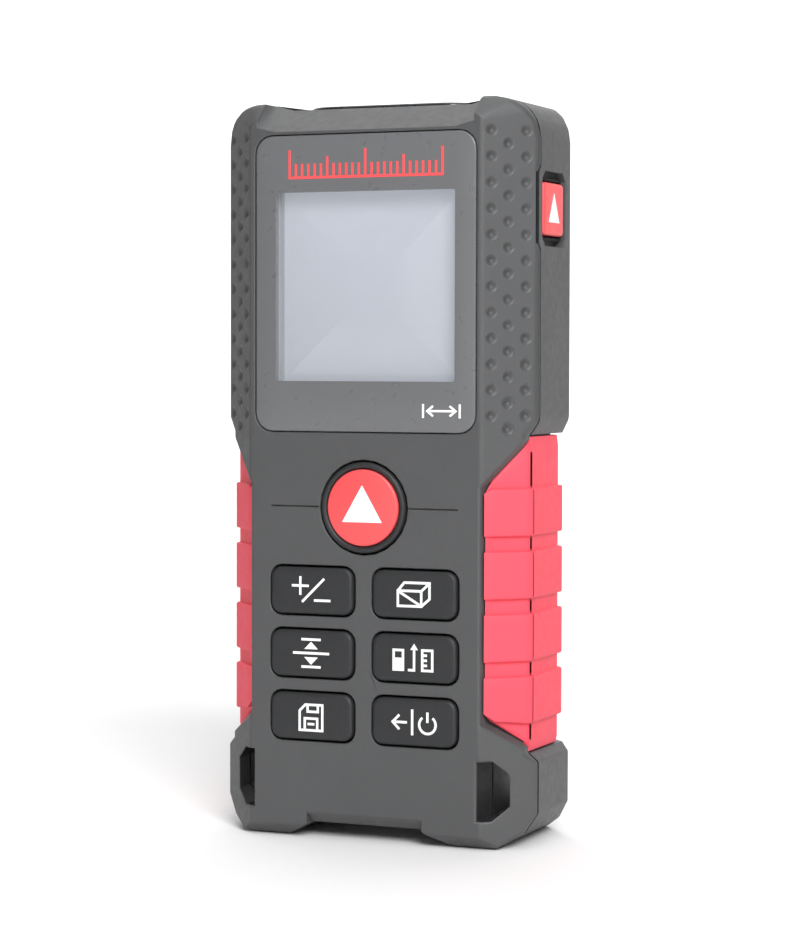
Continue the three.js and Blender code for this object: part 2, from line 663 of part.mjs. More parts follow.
function sideRecess() {
  const { width, height, corner, floor } = SIDE_RECESS;
  const [y, z] = [at(SIDE_KEY.depth), SIDE_KEY.z];
  const [w, h] = [width / 2, height / 2];
  const shape = polygon([
    [y - w, z - h + corner],
    [y - w + corner, z - h],
    [y + w - corner, z - h],
    [y + w, z - h + corner],
    [y + w, z + h - corner],
    [y + w - corner, z + h],
    [y - w + corner, z + h],
    [y - w, z + h - corner],
  ]);
  return prism("X", shape, HALF - floor, HALF + THROUGH);
}

const sideKeyShape = (grow) =>
  roundedRectangle(
    at(SIDE_KEY.depth),
    SIDE_KEY.z,
    SIDE_KEY.width + 2 * grow,
    SIDE_KEY.height + 2 * grow,
    SIDE_KEY.radius + Math.max(grow, 0),
  );

const BEZEL_TOP = BODY_HEIGHT - BEZEL.drop;
const BEZEL_BOTTOM = BEZEL_TOP - BEZEL.thickness;

const bezelShape = (grow) => {
  const middle = at((BEZEL.front + BEZEL.back) / 2);
  const length = BEZEL.back - BEZEL.front;
  return roundedRectangle(0, middle, 2 * (BEZEL.half + grow), length + 2 * grow, BEZEL.radius + grow);
};

function rearHousing() {
  const flange = DOOR.half + GAP + DOOR_FLANGE;
  const tray = join(
    block(
      [-BAY_HALF - BAY_WALL, BAY_HALF + BAY_WALL],
      [at(BAY_FLOOR_DEPTH - BAY_WALL), at(BODY_DEPTH - WALL)],
      [BAY_BOTTOM - BAY_WALL, BAY_TOP + BAY_WALL],
    ),
    block(
      [-flange, flange],
      [at(BODY_DEPTH - DOOR.thickness - 2 * WALL), at(BODY_DEPTH - WALL + LAP)],
      [DOOR.bottom - DOOR_FLANGE - DOOR_FOOT_GAP, DOOR.top + DOOR_FLANGE + GAP],
    ),
  );
  const bay = block(
    [-BAY_HALF, BAY_HALF],
    [at(BAY_FLOOR_DEPTH), BACK + THROUGH],
    [BAY_BOTTOM, BAY_TOP],
  );
  const tabPockets = both((s) =>
    block(
      [s * TAB.x - TAB.half - GAP, s * TAB.x + TAB.half + GAP],
      [at(BODY_DEPTH - DOOR.thickness - TAB_POCKET.depth), at(BODY_DEPTH - DOOR.thickness - GAP)],
      [DOOR.bottom - TAB.reach - GAP, BAY_BOTTOM + TAB_POCKET.rise],
    ),
  );
  const latchPocket = block(
    [-LATCH_LEG.half - GAP, LATCH_LEG.half + GAP],
    [at(BODY_DEPTH - DOOR.thickness - LATCH_LEG.length - GAP), BACK],
    [BAY_TOP - THROUGH, DOOR.top + GAP],
  );
  const chassisRibs = both((s) =>
    block(
      [s * CHASSIS_RIB.inner, s * CHASSIS_RIB.outer].sort((p, q) => p - q),
      [at(CHASSIS.back + GAP), at(BODY_DEPTH - WALL + LAP)],
      [CHASSIS_RIB.bottom, CHASSIS_RIB.top],
    ),
  );
  const bosses = [TOP_BOSS, BOTTOM_BOSS].flatMap(({ x, z }) =>
    both((s) =>
      rod("Y", [s * x, z], REAR_BOSS_RADIUS, at(PARTING_DEPTH + PARTING_GAP / 2), BACK),
    ),
  );
  const screwWells = [TOP_BOSS, BOTTOM_BOSS].flatMap(({ x, z }) =>
    both((s) =>
      join(
        rod("Y", [s * x, z], SCREW_HEAD + GAP, at(SCREW_SEAT_DEPTH), BACK + THROUGH),
        rod("Y", [s * x, z], SCREW_HOLE, at(WALL), at(SCREW_SEAT_DEPTH + 1)),
      ),
    ),
  );
  const keyHole = prism("X", sideKeyShape(KEY_GAP), HALF - 2 * WALL, HALF);
  const bezelOpening = prism("Z", bezelShape(GAP), BEZEL_BOTTOM - WALL, BODY_HEIGHT + THROUGH);
  const labelRecess = block(
    [-LABEL.half - GAP, LABEL.half + GAP],
    [at(BODY_DEPTH - 2 * LABEL.thickness), BACK + THROUGH],
    [LABEL.bottom - GAP, LABEL.top + GAP],
  );
  const shell = cut(common(body, rearSide), cavity);
  const filled = join(shell, tray, ...chassisRibs, ...bosses.map((b) => common(b, body)));
  const hollows = [bay, doorRebate, latchPocket, ...tabPockets, ...screwWells, sideRecess(), keyHole];
  return cut(filled, ...hollows, bezelOpening, labelRecess, ...slots);
}

// ---------------------------------------------------------------- battery door
function batteryDoor() {
  const inside = BODY_DEPTH - DOOR.thickness;
  const plate = block([-DOOR.half, DOOR.half], [at(inside), BACK], [DOOR.bottom, DOOR.top]);
  const tabs = both((s) =>
    join(
      block(
        [s * TAB.x - TAB.half, s * TAB.x + TAB.half],
        [at(inside - TAB.depth), at(inside + LAP)],
        [DOOR.bottom + TAB.setBack, DOOR.bottom + TAB.neck],
      ),
      block(
        [s * TAB.x - TAB.half, s * TAB.x + TAB.half],
        [at(inside - TAB.depth), at(inside - TAB.depth + TAB.thickness)],
        [DOOR.bottom - TAB.reach + GAP, DOOR.bottom + TAB.neck],
      ),
    ),
  );
  const latchSlots = both((s) =>
    block(
      [s * DOOR.latchHalf - LATCH_SLOT_HALF, s * DOOR.latchHalf + LATCH_SLOT_HALF],
      [FRONT, BACK + THROUGH],
      [DOOR.top - DOOR.latchHeight, DOOR.top + THROUGH],
    ),
  );
  const thumbScoop = block(
    [-DOOR.latchHalf + THUMB_SCOOP.margin, DOOR.latchHalf - THUMB_SCOOP.margin],
    [BACK - THUMB_SCOOP.depth, BACK + THROUGH],
    [DOOR.top - DOOR.latchHeight + THUMB_SCOOP.margin, DOOR.top - THUMB_SCOOP.margin],
  );
  const latchLeg = block(
    [-LATCH_LEG.half, LATCH_LEG.half],
    [at(inside - LATCH_LEG.length), at(inside + LAP)],
    [LATCH_LEG.bottom, LATCH_LEG.top],
  );
  return cut(join(plate, latchLeg, ...tabs), ...latchSlots, thumbScoop);
}

// ---------------------------------------------------------------- display stack
function displayParts() {
  const lcdBack = LCD_DEPTH + LCD_THICKNESS;
  const lightFront = lcdBack + GAP;
  const plate = (grow, from, to) =>
    block(
      [VIEW.x - VIEW.width / 2 - grow, VIEW.x + VIEW.width / 2 + grow],
      [at(from), at(to)],
      [VIEW.z - VIEW.height / 2 - grow, VIEW.z + VIEW.height / 2 + grow],
    );
  const frameDepths = [cavityDepths[0] + GAP, BOARD_DEPTH - GAP];
  return {
    display_window: prism(
      "Y",
      roundedRectangle(WINDOW.x, WINDOW.z, WINDOW.width - GAP, WINDOW.height - GAP, WINDOW.radius),
      FRONT,
      at(WINDOW.thickness),
    ),
    lcd_panel: plate(LCD_BORDER, LCD_DEPTH, lcdBack),
    backlight_panel: plate(LCD_BORDER - BACKLIGHT.margin, lightFront, lightFront + BACKLIGHT.thickness),
    display_frame: cut(
      plate(LCD_BORDER + GAP + FRAME_WALL, ...frameDepths),
      plate(LCD_BORDER + GAP, 0, BODY_DEPTH),
    ),
  };
}

function displayRibbon() {
  const top = VIEW.z - VIEW.height / 2 - LCD_BORDER - GAP - FRAME_WALL - GAP;
  const [front, back] = [cavityDepths[0] + RIBBON.setBack, BOARD_DEPTH - GAP];
  const bend = top - RIBBON.bend;
  const landing = bend - RIBBON.slope;
  const end = landing - RIBBON.tail;
  const strip = polygon([
    [at(front), top],
    [at(front), bend],
    [at(back - RIBBON.thickness), landing],
    [at(back - RIBBON.thickness), end],
    [at(back), end],
    [at(back), landing + LAP],
    [at(front + RIBBON.thickness), bend + LAP],
    [at(front + RIBBON.thickness), top],
  ]);
  return prism("X", strip, RIBBON.left, RIBBON.right);
}

// ---------------------------------------------------------------- keys
const functionKey = (centre) => prism("Y", keyOpening(centre, 0), FRONT - KEY_PROUD, at(KEY_BASE));
const contactPill = ([x, z]) =>
  rod("Y", [x, z], PILL_RADIUS, at(KEY_BASE), at(KEY_BASE + PILL_THICKNESS), SMALL_SIDES);

function measureKeyParts() {
  const axis = [0, MEASURE_KEY.z];
  const rim = CAP_PROUD - CAP_LIP;
  const bodyRod = rod("Y", axis, MEASURE_KEY.radius, FRONT - rim, at(KEY_BASE), ROUND_SIDES);
  const seat = rod(
    "Y",
    axis,
    MEASURE_KEY.capRadius + GAP,
    FRONT - THROUGH,
    FRONT - CAP_PROUD + MEASURE_KEY.recess + GAP,
  );
  return {
    measure_key: cut(bodyRod, seat),
    measure_key_cap: rod(
      "Y",
      axis,
      MEASURE_KEY.capRadius,
      FRONT - CAP_PROUD,
      FRONT - CAP_PROUD + MEASURE_KEY.recess,
    ),
  };
}

function keyMat() {
  const bottom = KEY_BOTTOM_ROW - KEY_HEIGHT / 2 - KEY_GAP - MAT_MARGIN;
  const top = MEASURE_KEY.z + MEASURE_KEY.radius + KEY_GAP + MAT_MARGIN;
  const half = KEY_COLUMN + KEY_WIDTH / 2 + KEY_GAP + MAT_MARGIN;
  const depths = [at(MAT_DEPTH), at(MAT_DEPTH + MAT_THICKNESS)];
  const sheet = block([-half, half], depths, [bottom, top]);
  const around = keyCentres.map((c) => prism("Y", keyOpening(c, KEY_GAP), FRONT, at(KEY_BASE)));
  const round = rod("Y", [0, MEASURE_KEY.z], MEASURE_KEY.radius + KEY_GAP, FRONT, at(KEY_BASE));
  const bosses = both((s) =>
    rod("Y", [s * BOARD_SCREW.x, BOARD_SCREW.z], BOARD_BOSS_RADIUS + GAP, FRONT, at(KEY_BASE)),
  );
  const footWalls = both((s) =>
    block(
      [s * (CAVITY.footHalf - GAP), s * HALF].sort((p, q) => p - q),
      [FRONT, at(BODY_DEPTH)],
      [0, CAVITY.footTop + GAP],
    ),
  );
  return cut(sheet, ...around, round, ...bosses, ...footWalls);
}

// A push switch: a square can with a plunger in its bore. The plunger stands out along -axis.
function pushSwitch(axis, [a, b], seat, outward) {
  const s = SWITCH_SIDE / 2;
  const [low, high] = [seat, seat + outward * SWITCH_HEIGHT].sort((p, q) => p - q);
  const can = prism(axis, roundedRectangle(a, b, 2 * s, 2 * s, SWITCH_CORNER), low, high);
  const bore = rod(axis, [a, b], PLUNGER_RADIUS + GAP, low - THROUGH, high + THROUGH, SMALL_SIDES);
  const reach = seat + outward * (SWITCH_HEIGHT + PLUNGER_STANDOFF);
  const ends = [reach, reach - outward * PLUNGER_LENGTH].sort((p, q) => p - q);
  return { can: cut(can, bore), plunger: rod(axis, [a, b], PLUNGER_RADIUS, ...ends, SMALL_SIDES) };
}

const measureSwitch = pushSwitch("Y", [0, MEASURE_KEY.z], at(BOARD_DEPTH - GAP), -1);
const SIDE_KEY_BACK = HALF - SIDE_KEY_LENGTH;
const SIDE_SWITCH_SEAT = SIDE_KEY_BACK - GAP - SWITCH_HEIGHT - PLUNGER_STANDOFF;
const sideSwitch = pushSwitch("X", [at(SIDE_KEY.depth), SIDE_KEY.z], SIDE_SWITCH_SEAT, 1);

function sideKeySeal() {
  const near = HALF - SIDE_RECESS.floor + GAP;
  const far = near + SIDE_SEAL.thickness;
  return cut(
    prism("X", sideKeyShape(SIDE_SEAL.width), near, far),
    prism("X", sideKeyShape(KEY_GAP), near - THROUGH, far + THROUGH),
  );
}

// ---------------------------------------------------------------- boards
function mainBoard() {
  const shape = symmetric([
    [BOARD_HALF_WAIST, CAVITY.footTop + GAP],
    [BOARD_HALF_WAIST, CAVITY.headBottom + BOARD_SHOULDER.low],
    [BOARD_HALF_HEAD, CAVITY.headBottom + BOARD_SHOULDER.high],
    [BOARD_HALF_HEAD, BOARD_TOP],
  ]);
  const plate = prism("Y", shape, at(BOARD_DEPTH), at(BOARD_DEPTH + BOARD_THICKNESS));
  const holes = both((s) =>
    rod("Y", [s * BOARD_SCREW.x, BOARD_SCREW.z], SCREW_HOLE, FRONT, BACK, SMALL_SIDES),
  );
  return cut(plate, ...holes);
}

const sideBoard = block(
  [SIDE_SWITCH_SEAT - GAP - BOARD_THICKNESS, SIDE_SWITCH_SEAT - GAP],
  [at(SIDE_KEY.depth - SIDE_BOARD.ahead), at(SIDE_KEY.depth + SIDE_BOARD.behind)],
  [SIDE_KEY.z - SIDE_BOARD.half, SIDE_KEY.z + SIDE_BOARD.half],
);

const BOARD_BACK = BOARD_DEPTH + BOARD_THICKNESS + GAP;
const processorChip = block(
  [CHIP.x - CHIP.side / 2, CHIP.x + CHIP.side / 2],
  [at(BOARD_BACK), at(BOARD_BACK + CHIP.thickness)],
  [CHIP.z - CHIP.side / 2, CHIP.z + CHIP.side / 2],
);
const buzzer = rod(
  "Y",
  [BUZZER.x, BUZZER.z],
  BUZZER.radius,
  at(BOARD_BACK),
  at(BOARD_BACK + BUZZER.thickness),
  MEDIUM_SIDES,
);

// ---------------------------------------------------------------- optics
function opticsParts() {
  const y = at(OPTICS_DEPTH);
  const bores = [RECEIVER, EMITTER].map(({ x, radius }) =>
    rod("Z", [x, y], radius, CHASSIS.bottom + WALL, CHASSIS.top + THROUGH),
  );
  const pinholeEnds = [CHASSIS.bottom - THROUGH, CHASSIS.top];
  const pinhole = rod("Z", [RECEIVER.x, y], PINHOLE_RADIUS, ...pinholeEnds, SMALL_SIDES);
  const chassis = block(
    [-CHASSIS.half, CHASSIS.half],
    [at(CHASSIS.front), at(CHASSIS.back)],
    [CHASSIS.bottom, CHASSIS.top],
  );
  const lens = new THREE.LatheGeometry(
    [
      [0, -RECEIVER_LENS.edge],
      [RECEIVER.radius - GAP, -RECEIVER_LENS.edge],
      [RECEIVER.radius - GAP, RECEIVER_LENS.rim],
      [RECEIVER.radius * 0.6, RECEIVER_LENS.shoulder],
      [0, RECEIVER_LENS.crown],
    ].map(([r, h]) => new THREE.Vector2(r, h)),
    ROUND_SIDES,
  );
  lens.rotateX(Math.PI / 2).translate(RECEIVER.x, y, CHASSIS.top - RECEIVER_LENS.below);
  const barrelEnds = [CHASSIS.bottom + BARREL.bottom, CHASSIS.top - BARREL.top];
  const barrel = cut(
    rod("Z", [EMITTER.x, y], EMITTER.radius - GAP, ...barrelEnds),
    rod("Z", [EMITTER.x, y], BARREL.bore, CHASSIS.bottom + BARREL.boreFloor, CHASSIS.top, SMALL_SIDES),
  );
  const collimatorTop = CHASSIS.top - COLLIMATOR.top;
  const collimatorEnds = [collimatorTop - COLLIMATOR.thickness, collimatorTop];
  const detectorTop = CHASSIS.bottom - GAP;
  const detectorEnds = [detectorTop - DETECTOR.height, detectorTop];
  const windowBottom = BEZEL_BOTTOM + OPTIC_WINDOW.bottom;
  const windowEnds = [windowBottom, windowBottom + OPTIC_WINDOW.thickness];
  const bezelSeat = [BEZEL_BOTTOM - THROUGH, BODY_HEIGHT + THROUGH];
  const receiverOpening = RECEIVER.radius - BEZEL_LIP.receiver;
  const emitterOpening = EMITTER.radius - BEZEL_LIP.emitter;
  return {
    optics_chassis: cut(chassis, ...bores, pinhole),
    receiver_lens: solid(lens),
    laser_barrel: barrel,
    collimator_lens: rod("Z", [EMITTER.x, y], EMITTER.radius - COLLIMATOR.clearance, ...collimatorEnds),
    detector_can: rod("Z", [RECEIVER.x, y], DETECTOR.radius, ...detectorEnds, MEDIUM_SIDES),
    optics_bezel: cut(
      prism("Z", bezelShape(0), BEZEL_BOTTOM, BEZEL_TOP),
      rod("Z", [RECEIVER.x, y], receiverOpening, ...bezelSeat),
      rod("Z", [EMITTER.x, y], emitterOpening, ...bezelSeat, MEDIUM_SIDES),
    ),
    receiver_window: rod("Z", [RECEIVER.x, y], receiverOpening - GAP, ...windowEnds),
    emitter_window: rod("Z", [EMITTER.x, y], emitterOpening - GAP, ...windowEnds, MEDIUM_SIDES),
  };
}

// ---------------------------------------------------------------- batteries
const CELL_AXIS = at(BAY_FLOOR_DEPTH + GAP + CELL_RADIUS);
const springLength = BAY_TOP - BAY_BOTTOM - CELL_LENGTH - CONTACT_THICKNESS - 4 * GAP;

function cell(x, bottom, positiveUp) {
  const profile = [
    [0, 0],
    [CELL_RADIUS, 0],
    [CELL_RADIUS, CELL_LENGTH - CELL_BUTTON.height],
    [CELL_BUTTON.radius, CELL_LENGTH - CELL_BUTTON.height],
    [CELL_BUTTON.radius, CELL_LENGTH],
    [0, CELL_LENGTH],
  ].map(([r, h]) => new THREE.Vector2(r, h));
  const geometry = new THREE.LatheGeometry(profile, ROUND_SIDES).rotateX(Math.PI / 2);
  if (!positiveUp) geometry.rotateX(Math.PI).translate(0, 0, CELL_LENGTH);
  return solid(geometry.translate(x, CELL_AXIS, bottom));
}

// A tapering coil, wide at its base and centred on the cell's axis.
function batterySpring(x, base, direction) {
  const count = SPRING.turns * SPRING.stepsPerTurn;
  const points = Array.from({ length: count + 1 }, (_, i) => {
    const t = i / count;
    const angle = t * SPRING.turns * Math.PI * 2;
    const radius = SPRING.base - SPRING.taper * t;
    const rise = SPRING.wire + t * (springLength - 2 * SPRING.wire);
    return new THREE.Vector3(
      x + radius * Math.cos(angle),
      CELL_AXIS + radius * Math.sin(angle),
      base + direction * rise,
    );
  });
  const wire = new THREE.Shape().absarc(0, 0, SPRING.wire, 0, Math.PI * 2);
  const extrudePath = new THREE.CatmullRomCurve3(points);
  return new THREE.ExtrudeGeometry(wire, { steps: count + SPRING.turns, curveSegments: 2, extrudePath });
}

const contactPlate = (x, z) =>
  block(
    [x - CONTACT_HALF, x + CONTACT_HALF],
    [CELL_AXIS - CONTACT_HALF, CELL_AXIS + CONTACT_HALF],
    [z, z + CONTACT_THICKNESS],
  );

// A short wire from the bay's top wall forward to the main board.
function batteryLead(x) {
  const points = [
    [x, CELL_AXIS - 8, BAY_TOP + BAY_WALL + 1],
    [x, CELL_AXIS - 8, BAY_TOP + BAY_WALL + 3],
    [x * 0.8, at(11), BAY_TOP + 6],
    [x * 0.7, at(9), BAY_TOP + 4],
    [x * 0.7, at(BOARD_BACK + 0.2), BAY_TOP + 2],
  ].map((point) => new THREE.Vector3(...point));
  const wire = new THREE.Shape().absarc(0, 0, LEAD_RADIUS, 0, Math.PI * 2);
  const extrudePath = new THREE.CatmullRomCurve3(points);
  return new THREE.ExtrudeGeometry(wire, { steps: 10, curveSegments: 3, extrudePath });
}

// ---------------------------------------------------------------- screws
function screw(x, z, seatDepth) {
  const top = seatDepth + SCREW_HEAD_HEIGHT;
  const head = rod("Y", [x, z], SCREW_HEAD, at(seatDepth), at(top), MEDIUM_SIDES);
  const shankEnds = [at(SCREW_TIP_DEPTH), at(seatDepth + SCREW_NECK)];
  const shank = rod("Y", [x, z], SCREW_SHANK, ...shankEnds, SMALL_SIDES);
  const recess = [at(top - CROSS.depth), at(top + THROUGH)];
  const arm = (centre, half) => [centre - half, centre + half];
  const crossSlots = [
    block(arm(x, CROSS.half), recess, arm(z, CROSS.width / 2)),
    block(arm(x, CROSS.width / 2), recess, arm(z, CROSS.half)),
  ];
  return cut(join(head, shank), ...crossSlots);
}

// ---------------------------------------------------------------- assembly
const assembly = new THREE.Group();

function geometryOf(shape) {
  if (shape.isBufferGeometry) return shape;
  const { vertProperties, triVerts } = shape.getMesh();
  return new THREE.BufferGeometry()
    .setAttribute("position", new THREE.BufferAttribute(vertProperties, 3))
    .setIndex(new THREE.BufferAttribute(triVerts, 1));
}

function add(name, shape, finish) {
  const mesh = new THREE.Mesh(geometryOf(shape), finish);
  mesh.name = name;
  assembly.add(mesh);
}

add("front_housing", frontHousing(), MATERIALS.housing);
add("rear_housing", rearHousing(), MATERIALS.housing);
for (const [sign, side] of [[-1, "left"], [1, "right"]]) {
  add(`front_grip_${side}`, grip(sign, true), MATERIALS.grip);
  add(`rear_grip_${side}`, grip(sign, false), MATERIALS.grip);
}

const display = displayParts();
add("display_window", display.display_window, MATERIALS.windowPanel);
add("display_frame", display.display_frame, MATERIALS.lightGuide);
add("lcd_panel", display.lcd_panel, MATERIALS.lcd);
add("backlight_panel", display.backlight_panel, MATERIALS.lightGuide);
add("display_ribbon", displayRibbon(), MATERIALS.brass);

const measureKey = measureKeyParts();
add("measure_key", measureKey.measure_key, MATERIALS.key);
add("measure_key_cap", measureKey.measure_key_cap, MATERIALS.redKey);
add("measure_switch", measureSwitch.can, MATERIALS.chip);
add("measure_switch_plunger", measureSwitch.plunger, MATERIALS.steel);

// Left column from the top, then right column from the top.
const KEY_NAMES = ["plus_minus", "max_min", "memory", "area_volume", "reference_unit", "clear_power"];
KEY_NAMES.forEach((name, i) => {
  add(`${name}_key`, functionKey(keyCentres[i]), MATERIALS.key);
  add(`${name}_contact_pill`, contactPill(keyCentres[i]), MATERIALS.rubber);
});
add("key_mat", keyMat(), MATERIALS.rubber);

add("side_key", prism("X", sideKeyShape(0), SIDE_KEY_BACK, HALF), MATERIALS.redKey);
add("side_key_seal", sideKeySeal(), MATERIALS.rubber);
add("side_switch", sideSwitch.can, MATERIALS.chip);
add("side_switch_plunger", sideSwitch.plunger, MATERIALS.steel);
add("side_board", sideBoard, MATERIALS.board);

add("main_board", mainBoard(), MATERIALS.board);
add("processor_chip", processorChip, MATERIALS.chip);
add("buzzer", buzzer, MATERIALS.blackPlastic);

const OPTICS_FINISH = {
  optics_chassis: MATERIALS.aluminium,
  receiver_lens: MATERIALS.glass,
  laser_barrel: MATERIALS.brass,
  collimator_lens: MATERIALS.glass,
  detector_can: MATERIALS.steel,
  optics_bezel: MATERIALS.blackPlastic,
  receiver_window: MATERIALS.glass,
  emitter_window: MATERIALS.glass,
};
for (const [name, shape] of Object.entries(opticsParts())) add(name, shape, OPTICS_FINISH[name]);

const lowCell = BAY_BOTTOM + CONTACT_THICKNESS + 2 * GAP;
const highCell = BAY_TOP - CONTACT_THICKNESS - 2 * GAP - CELL_LENGTH;
add("battery_cell_left", cell(-CELL_SPACING, highCell, true), MATERIALS.cell);
add("battery_cell_right", cell(CELL_SPACING, lowCell, false), MATERIALS.cell);
add("battery_spring_left", batterySpring(-CELL_SPACING, BAY_BOTTOM + GAP, 1), MATERIALS.steel);
add("battery_spring_right", batterySpring(CELL_SPACING, BAY_TOP - GAP, -1), MATERIALS.steel);
add("contact_plate_left", contactPlate(-CELL_SPACING, BAY_TOP - GAP - CONTACT_THICKNESS), MATERIALS.steel);
add("contact_plate_right", contactPlate(CELL_SPACING, BAY_BOTTOM + GAP), MATERIALS.steel);
add("battery_lead_positive", batteryLead(-CELL_SPACING), MATERIALS.redLead);
add("battery_lead_negative", batteryLead(CELL_SPACING), MATERIALS.blackLead);
add("battery_door", batteryDoor(), MATERIALS.housing);

for (const [place, { x, z }] of [["top", TOP_BOSS], ["bottom", BOTTOM_BOSS]]) {
  for (const [sign, side] of [[-1, "left"], [1, "right"]]) {
    const shape = screw(sign * x, z, SCREW_SEAT_DEPTH + GAP);
    add(`housing_screw_${place}_${side}`, shape, MATERIALS.steel);
  }
}
for (const [sign, side] of [[-1, "left"], [1, "right"]]) {
  const shape = screw(sign * BOARD_SCREW.x, BOARD_SCREW.z, BOARD_BACK);
  add(`board_screw_${side}`, shape, MATERIALS.steel);
}
add(
  "rear_label",
  block([-LABEL.half, LABEL.half], [BACK - LABEL.thickness, BACK], [LABEL.bottom, LABEL.top]),
  MATERIALS.label,
);

export default assembly;
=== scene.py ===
"""Looks of a handheld laser distance meter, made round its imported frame.

Lengths inside the functions are millimetres; piece() turns them into metres.
+Z is up, -Y is out of the display and the keys, +X is towards the side key.
"""

import json
import math

import bmesh
import bpy
import numpy as np
from bpy.props import FloatProperty, FloatVectorProperty, PointerProperty
from mathutils import Matrix, Vector
from mathutils.bvhtree import BVHTree


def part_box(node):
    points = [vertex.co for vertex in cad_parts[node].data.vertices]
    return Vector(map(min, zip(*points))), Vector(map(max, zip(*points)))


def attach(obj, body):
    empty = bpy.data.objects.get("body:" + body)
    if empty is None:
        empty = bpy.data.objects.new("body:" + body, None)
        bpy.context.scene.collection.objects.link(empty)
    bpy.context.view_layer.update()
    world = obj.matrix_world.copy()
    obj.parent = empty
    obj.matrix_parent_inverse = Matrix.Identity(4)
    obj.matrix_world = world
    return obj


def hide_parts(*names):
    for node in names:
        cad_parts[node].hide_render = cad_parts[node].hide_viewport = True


bl_info = {
    "name": "Laser Distance Meter Looks",
    "version": (1, 0, 0),
    "blender": (4, 5, 0),
    "location": "3D View > Sidebar > Meter",
    "description": "Builds the visible surfaces and finishes of a laser distance meter",
    "category": "Object",
}

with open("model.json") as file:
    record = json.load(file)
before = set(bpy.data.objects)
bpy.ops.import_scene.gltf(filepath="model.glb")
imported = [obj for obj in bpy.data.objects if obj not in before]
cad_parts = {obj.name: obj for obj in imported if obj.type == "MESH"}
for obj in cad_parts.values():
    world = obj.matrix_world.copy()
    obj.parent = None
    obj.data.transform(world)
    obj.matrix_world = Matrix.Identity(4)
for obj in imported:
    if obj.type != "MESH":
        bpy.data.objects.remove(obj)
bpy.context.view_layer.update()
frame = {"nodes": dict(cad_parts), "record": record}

MM = 0.001


def span(node):
    """Lowest and highest corner of a CAD node, in millimetres."""
    low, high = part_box(node)
    return np.array(low) / MM, np.array(high) / MM


def middle(node):
    """Middle of a CAD node's box, in millimetres."""
    return sum(span(node)) / 2


def face_of(node, axes=(0, 2)):
    """A CAD node's corners, and the middle and size of its face across two axes, in millimetres."""
    low, high = span(node)
    pick = list(axes)
    return low, high, middle(node)[pick], (high - low)[pick]


# ------------------------------------------------------------------ sizes from the frame
FRONT = span("display_window")[0][1]
BACK = span("rear_housing")[1][1]
HALF = span("rear_housing")[1][0]
HEIGHT = span("rear_housing")[1][2]
BEVEL_WIDTH = 7.0
BEVEL_DEPTH = 6.5
FLAT_HALF = HALF - BEVEL_WIDTH
MEASURE_CENTRE = middle("measure_key")
KEY_NAMES = ("plus_minus", "max_min", "memory", "area_volume", "reference_unit", "clear_power")
SIDES = ((-1, "left"), (1, "right"))


# ------------------------------------------------------------------ settings
def length(name, description, default):
    return FloatProperty(name=name, description=description, default=default * MM, unit="LENGTH", precision=5)


def colour(name, description, default):
    return FloatVectorProperty(
        name=name, description=description, default=default, size=3, subtype="COLOR", min=0, max=1
    )


class MeterSizes(bpy.types.PropertyGroup):
    """Sizes of the surface details"""

    edge: length("Edge rounding", "Widest rounding of the housings' edges", 0.8)
    dimple: length("Dimple diameter", "Width of a dimple on the side slants", 2.15)
    dimple_depth: length("Dimple depth", "Depth of a dimple in its middle", 0.62)
    groove: length("Groove width", "Width of the engraved line beside the measure key", 0.3)
    key_edge: length("Key edge", "Rounding along the edges of the function keys", 0.55)
    legend: length("Legend line", "Width of the lines of a printed legend", 0.4)


class MeterColours(bpy.types.PropertyGroup):
    """Colours of the finishes"""

    housing: colour("Housing", "Textured plastic of both housings", (0.068, 0.069, 0.071))
    grip: colour("Grip", "Soft side grips", (0.84, 0.085, 0.12))
    red: colour("Red keys", "Measure key cap and side key", (0.84, 0.085, 0.09))
    key: colour("Keys", "Function keys and the ring of the measure key", (0.022, 0.0225, 0.024))
    window: colour("Window print", "Printed border of the display window", (0.135, 0.137, 0.143))
    # this colour is also the panel's painted glow (emission) and its painted gradient of light
    lcd: colour("LCD", "Unlit liquid crystal panel", (0.365, 0.388, 0.437))
    legend: colour("Legends", "Printed marks on the keys", (0.9, 0.9, 0.9))
    floor: colour("Floor", "Floor and backdrop", (0.86, 0.86, 0.86))


def sizes():
    """The user's sizes, in millimetres."""
    group = bpy.context.scene.meter_sizes
    return {name: getattr(group, name) / MM for name in MeterSizes.__annotations__}


def colours():
    return bpy.context.scene.meter_colours


# ------------------------------------------------------------------ surfaces
AXIS_GAP = 0.02  # radius at which a turned profile stops short of its axis; a point then closes it
SMALLEST_CORNER = 0.05  # the tightest corner radius of a pad
SHARPEST_MITRE = 0.4  # a bend's corner is never stretched by more than 1 over this
PRINT_STEP = 0.001  # each printed mark stands this much further out than the one before


def oriented(across, up, level, axis):
    """Points whose level runs along an axis, and whose other two values keep their order, as x, y, z."""
    order = {"X": (level, across, up), "Y": (across, level, up), "Z": (across, up, level)}
    return np.stack(order[axis], axis=-1)


def grid_faces(rows, cols, wrap=False):
    """Quads of a grid of rows by cols points, row after row; wrap joins the last column to the first."""
    r = np.arange(rows - 1)[:, None]
    c = np.arange(cols if wrap else cols - 1)[None, :]
    n = (c + 1) % cols
    quads = np.stack([r * cols + c, r * cols + n, (r + 1) * cols + n, (r + 1) * cols + c], axis=-1)
    return quads.reshape(-1, 4).tolist()


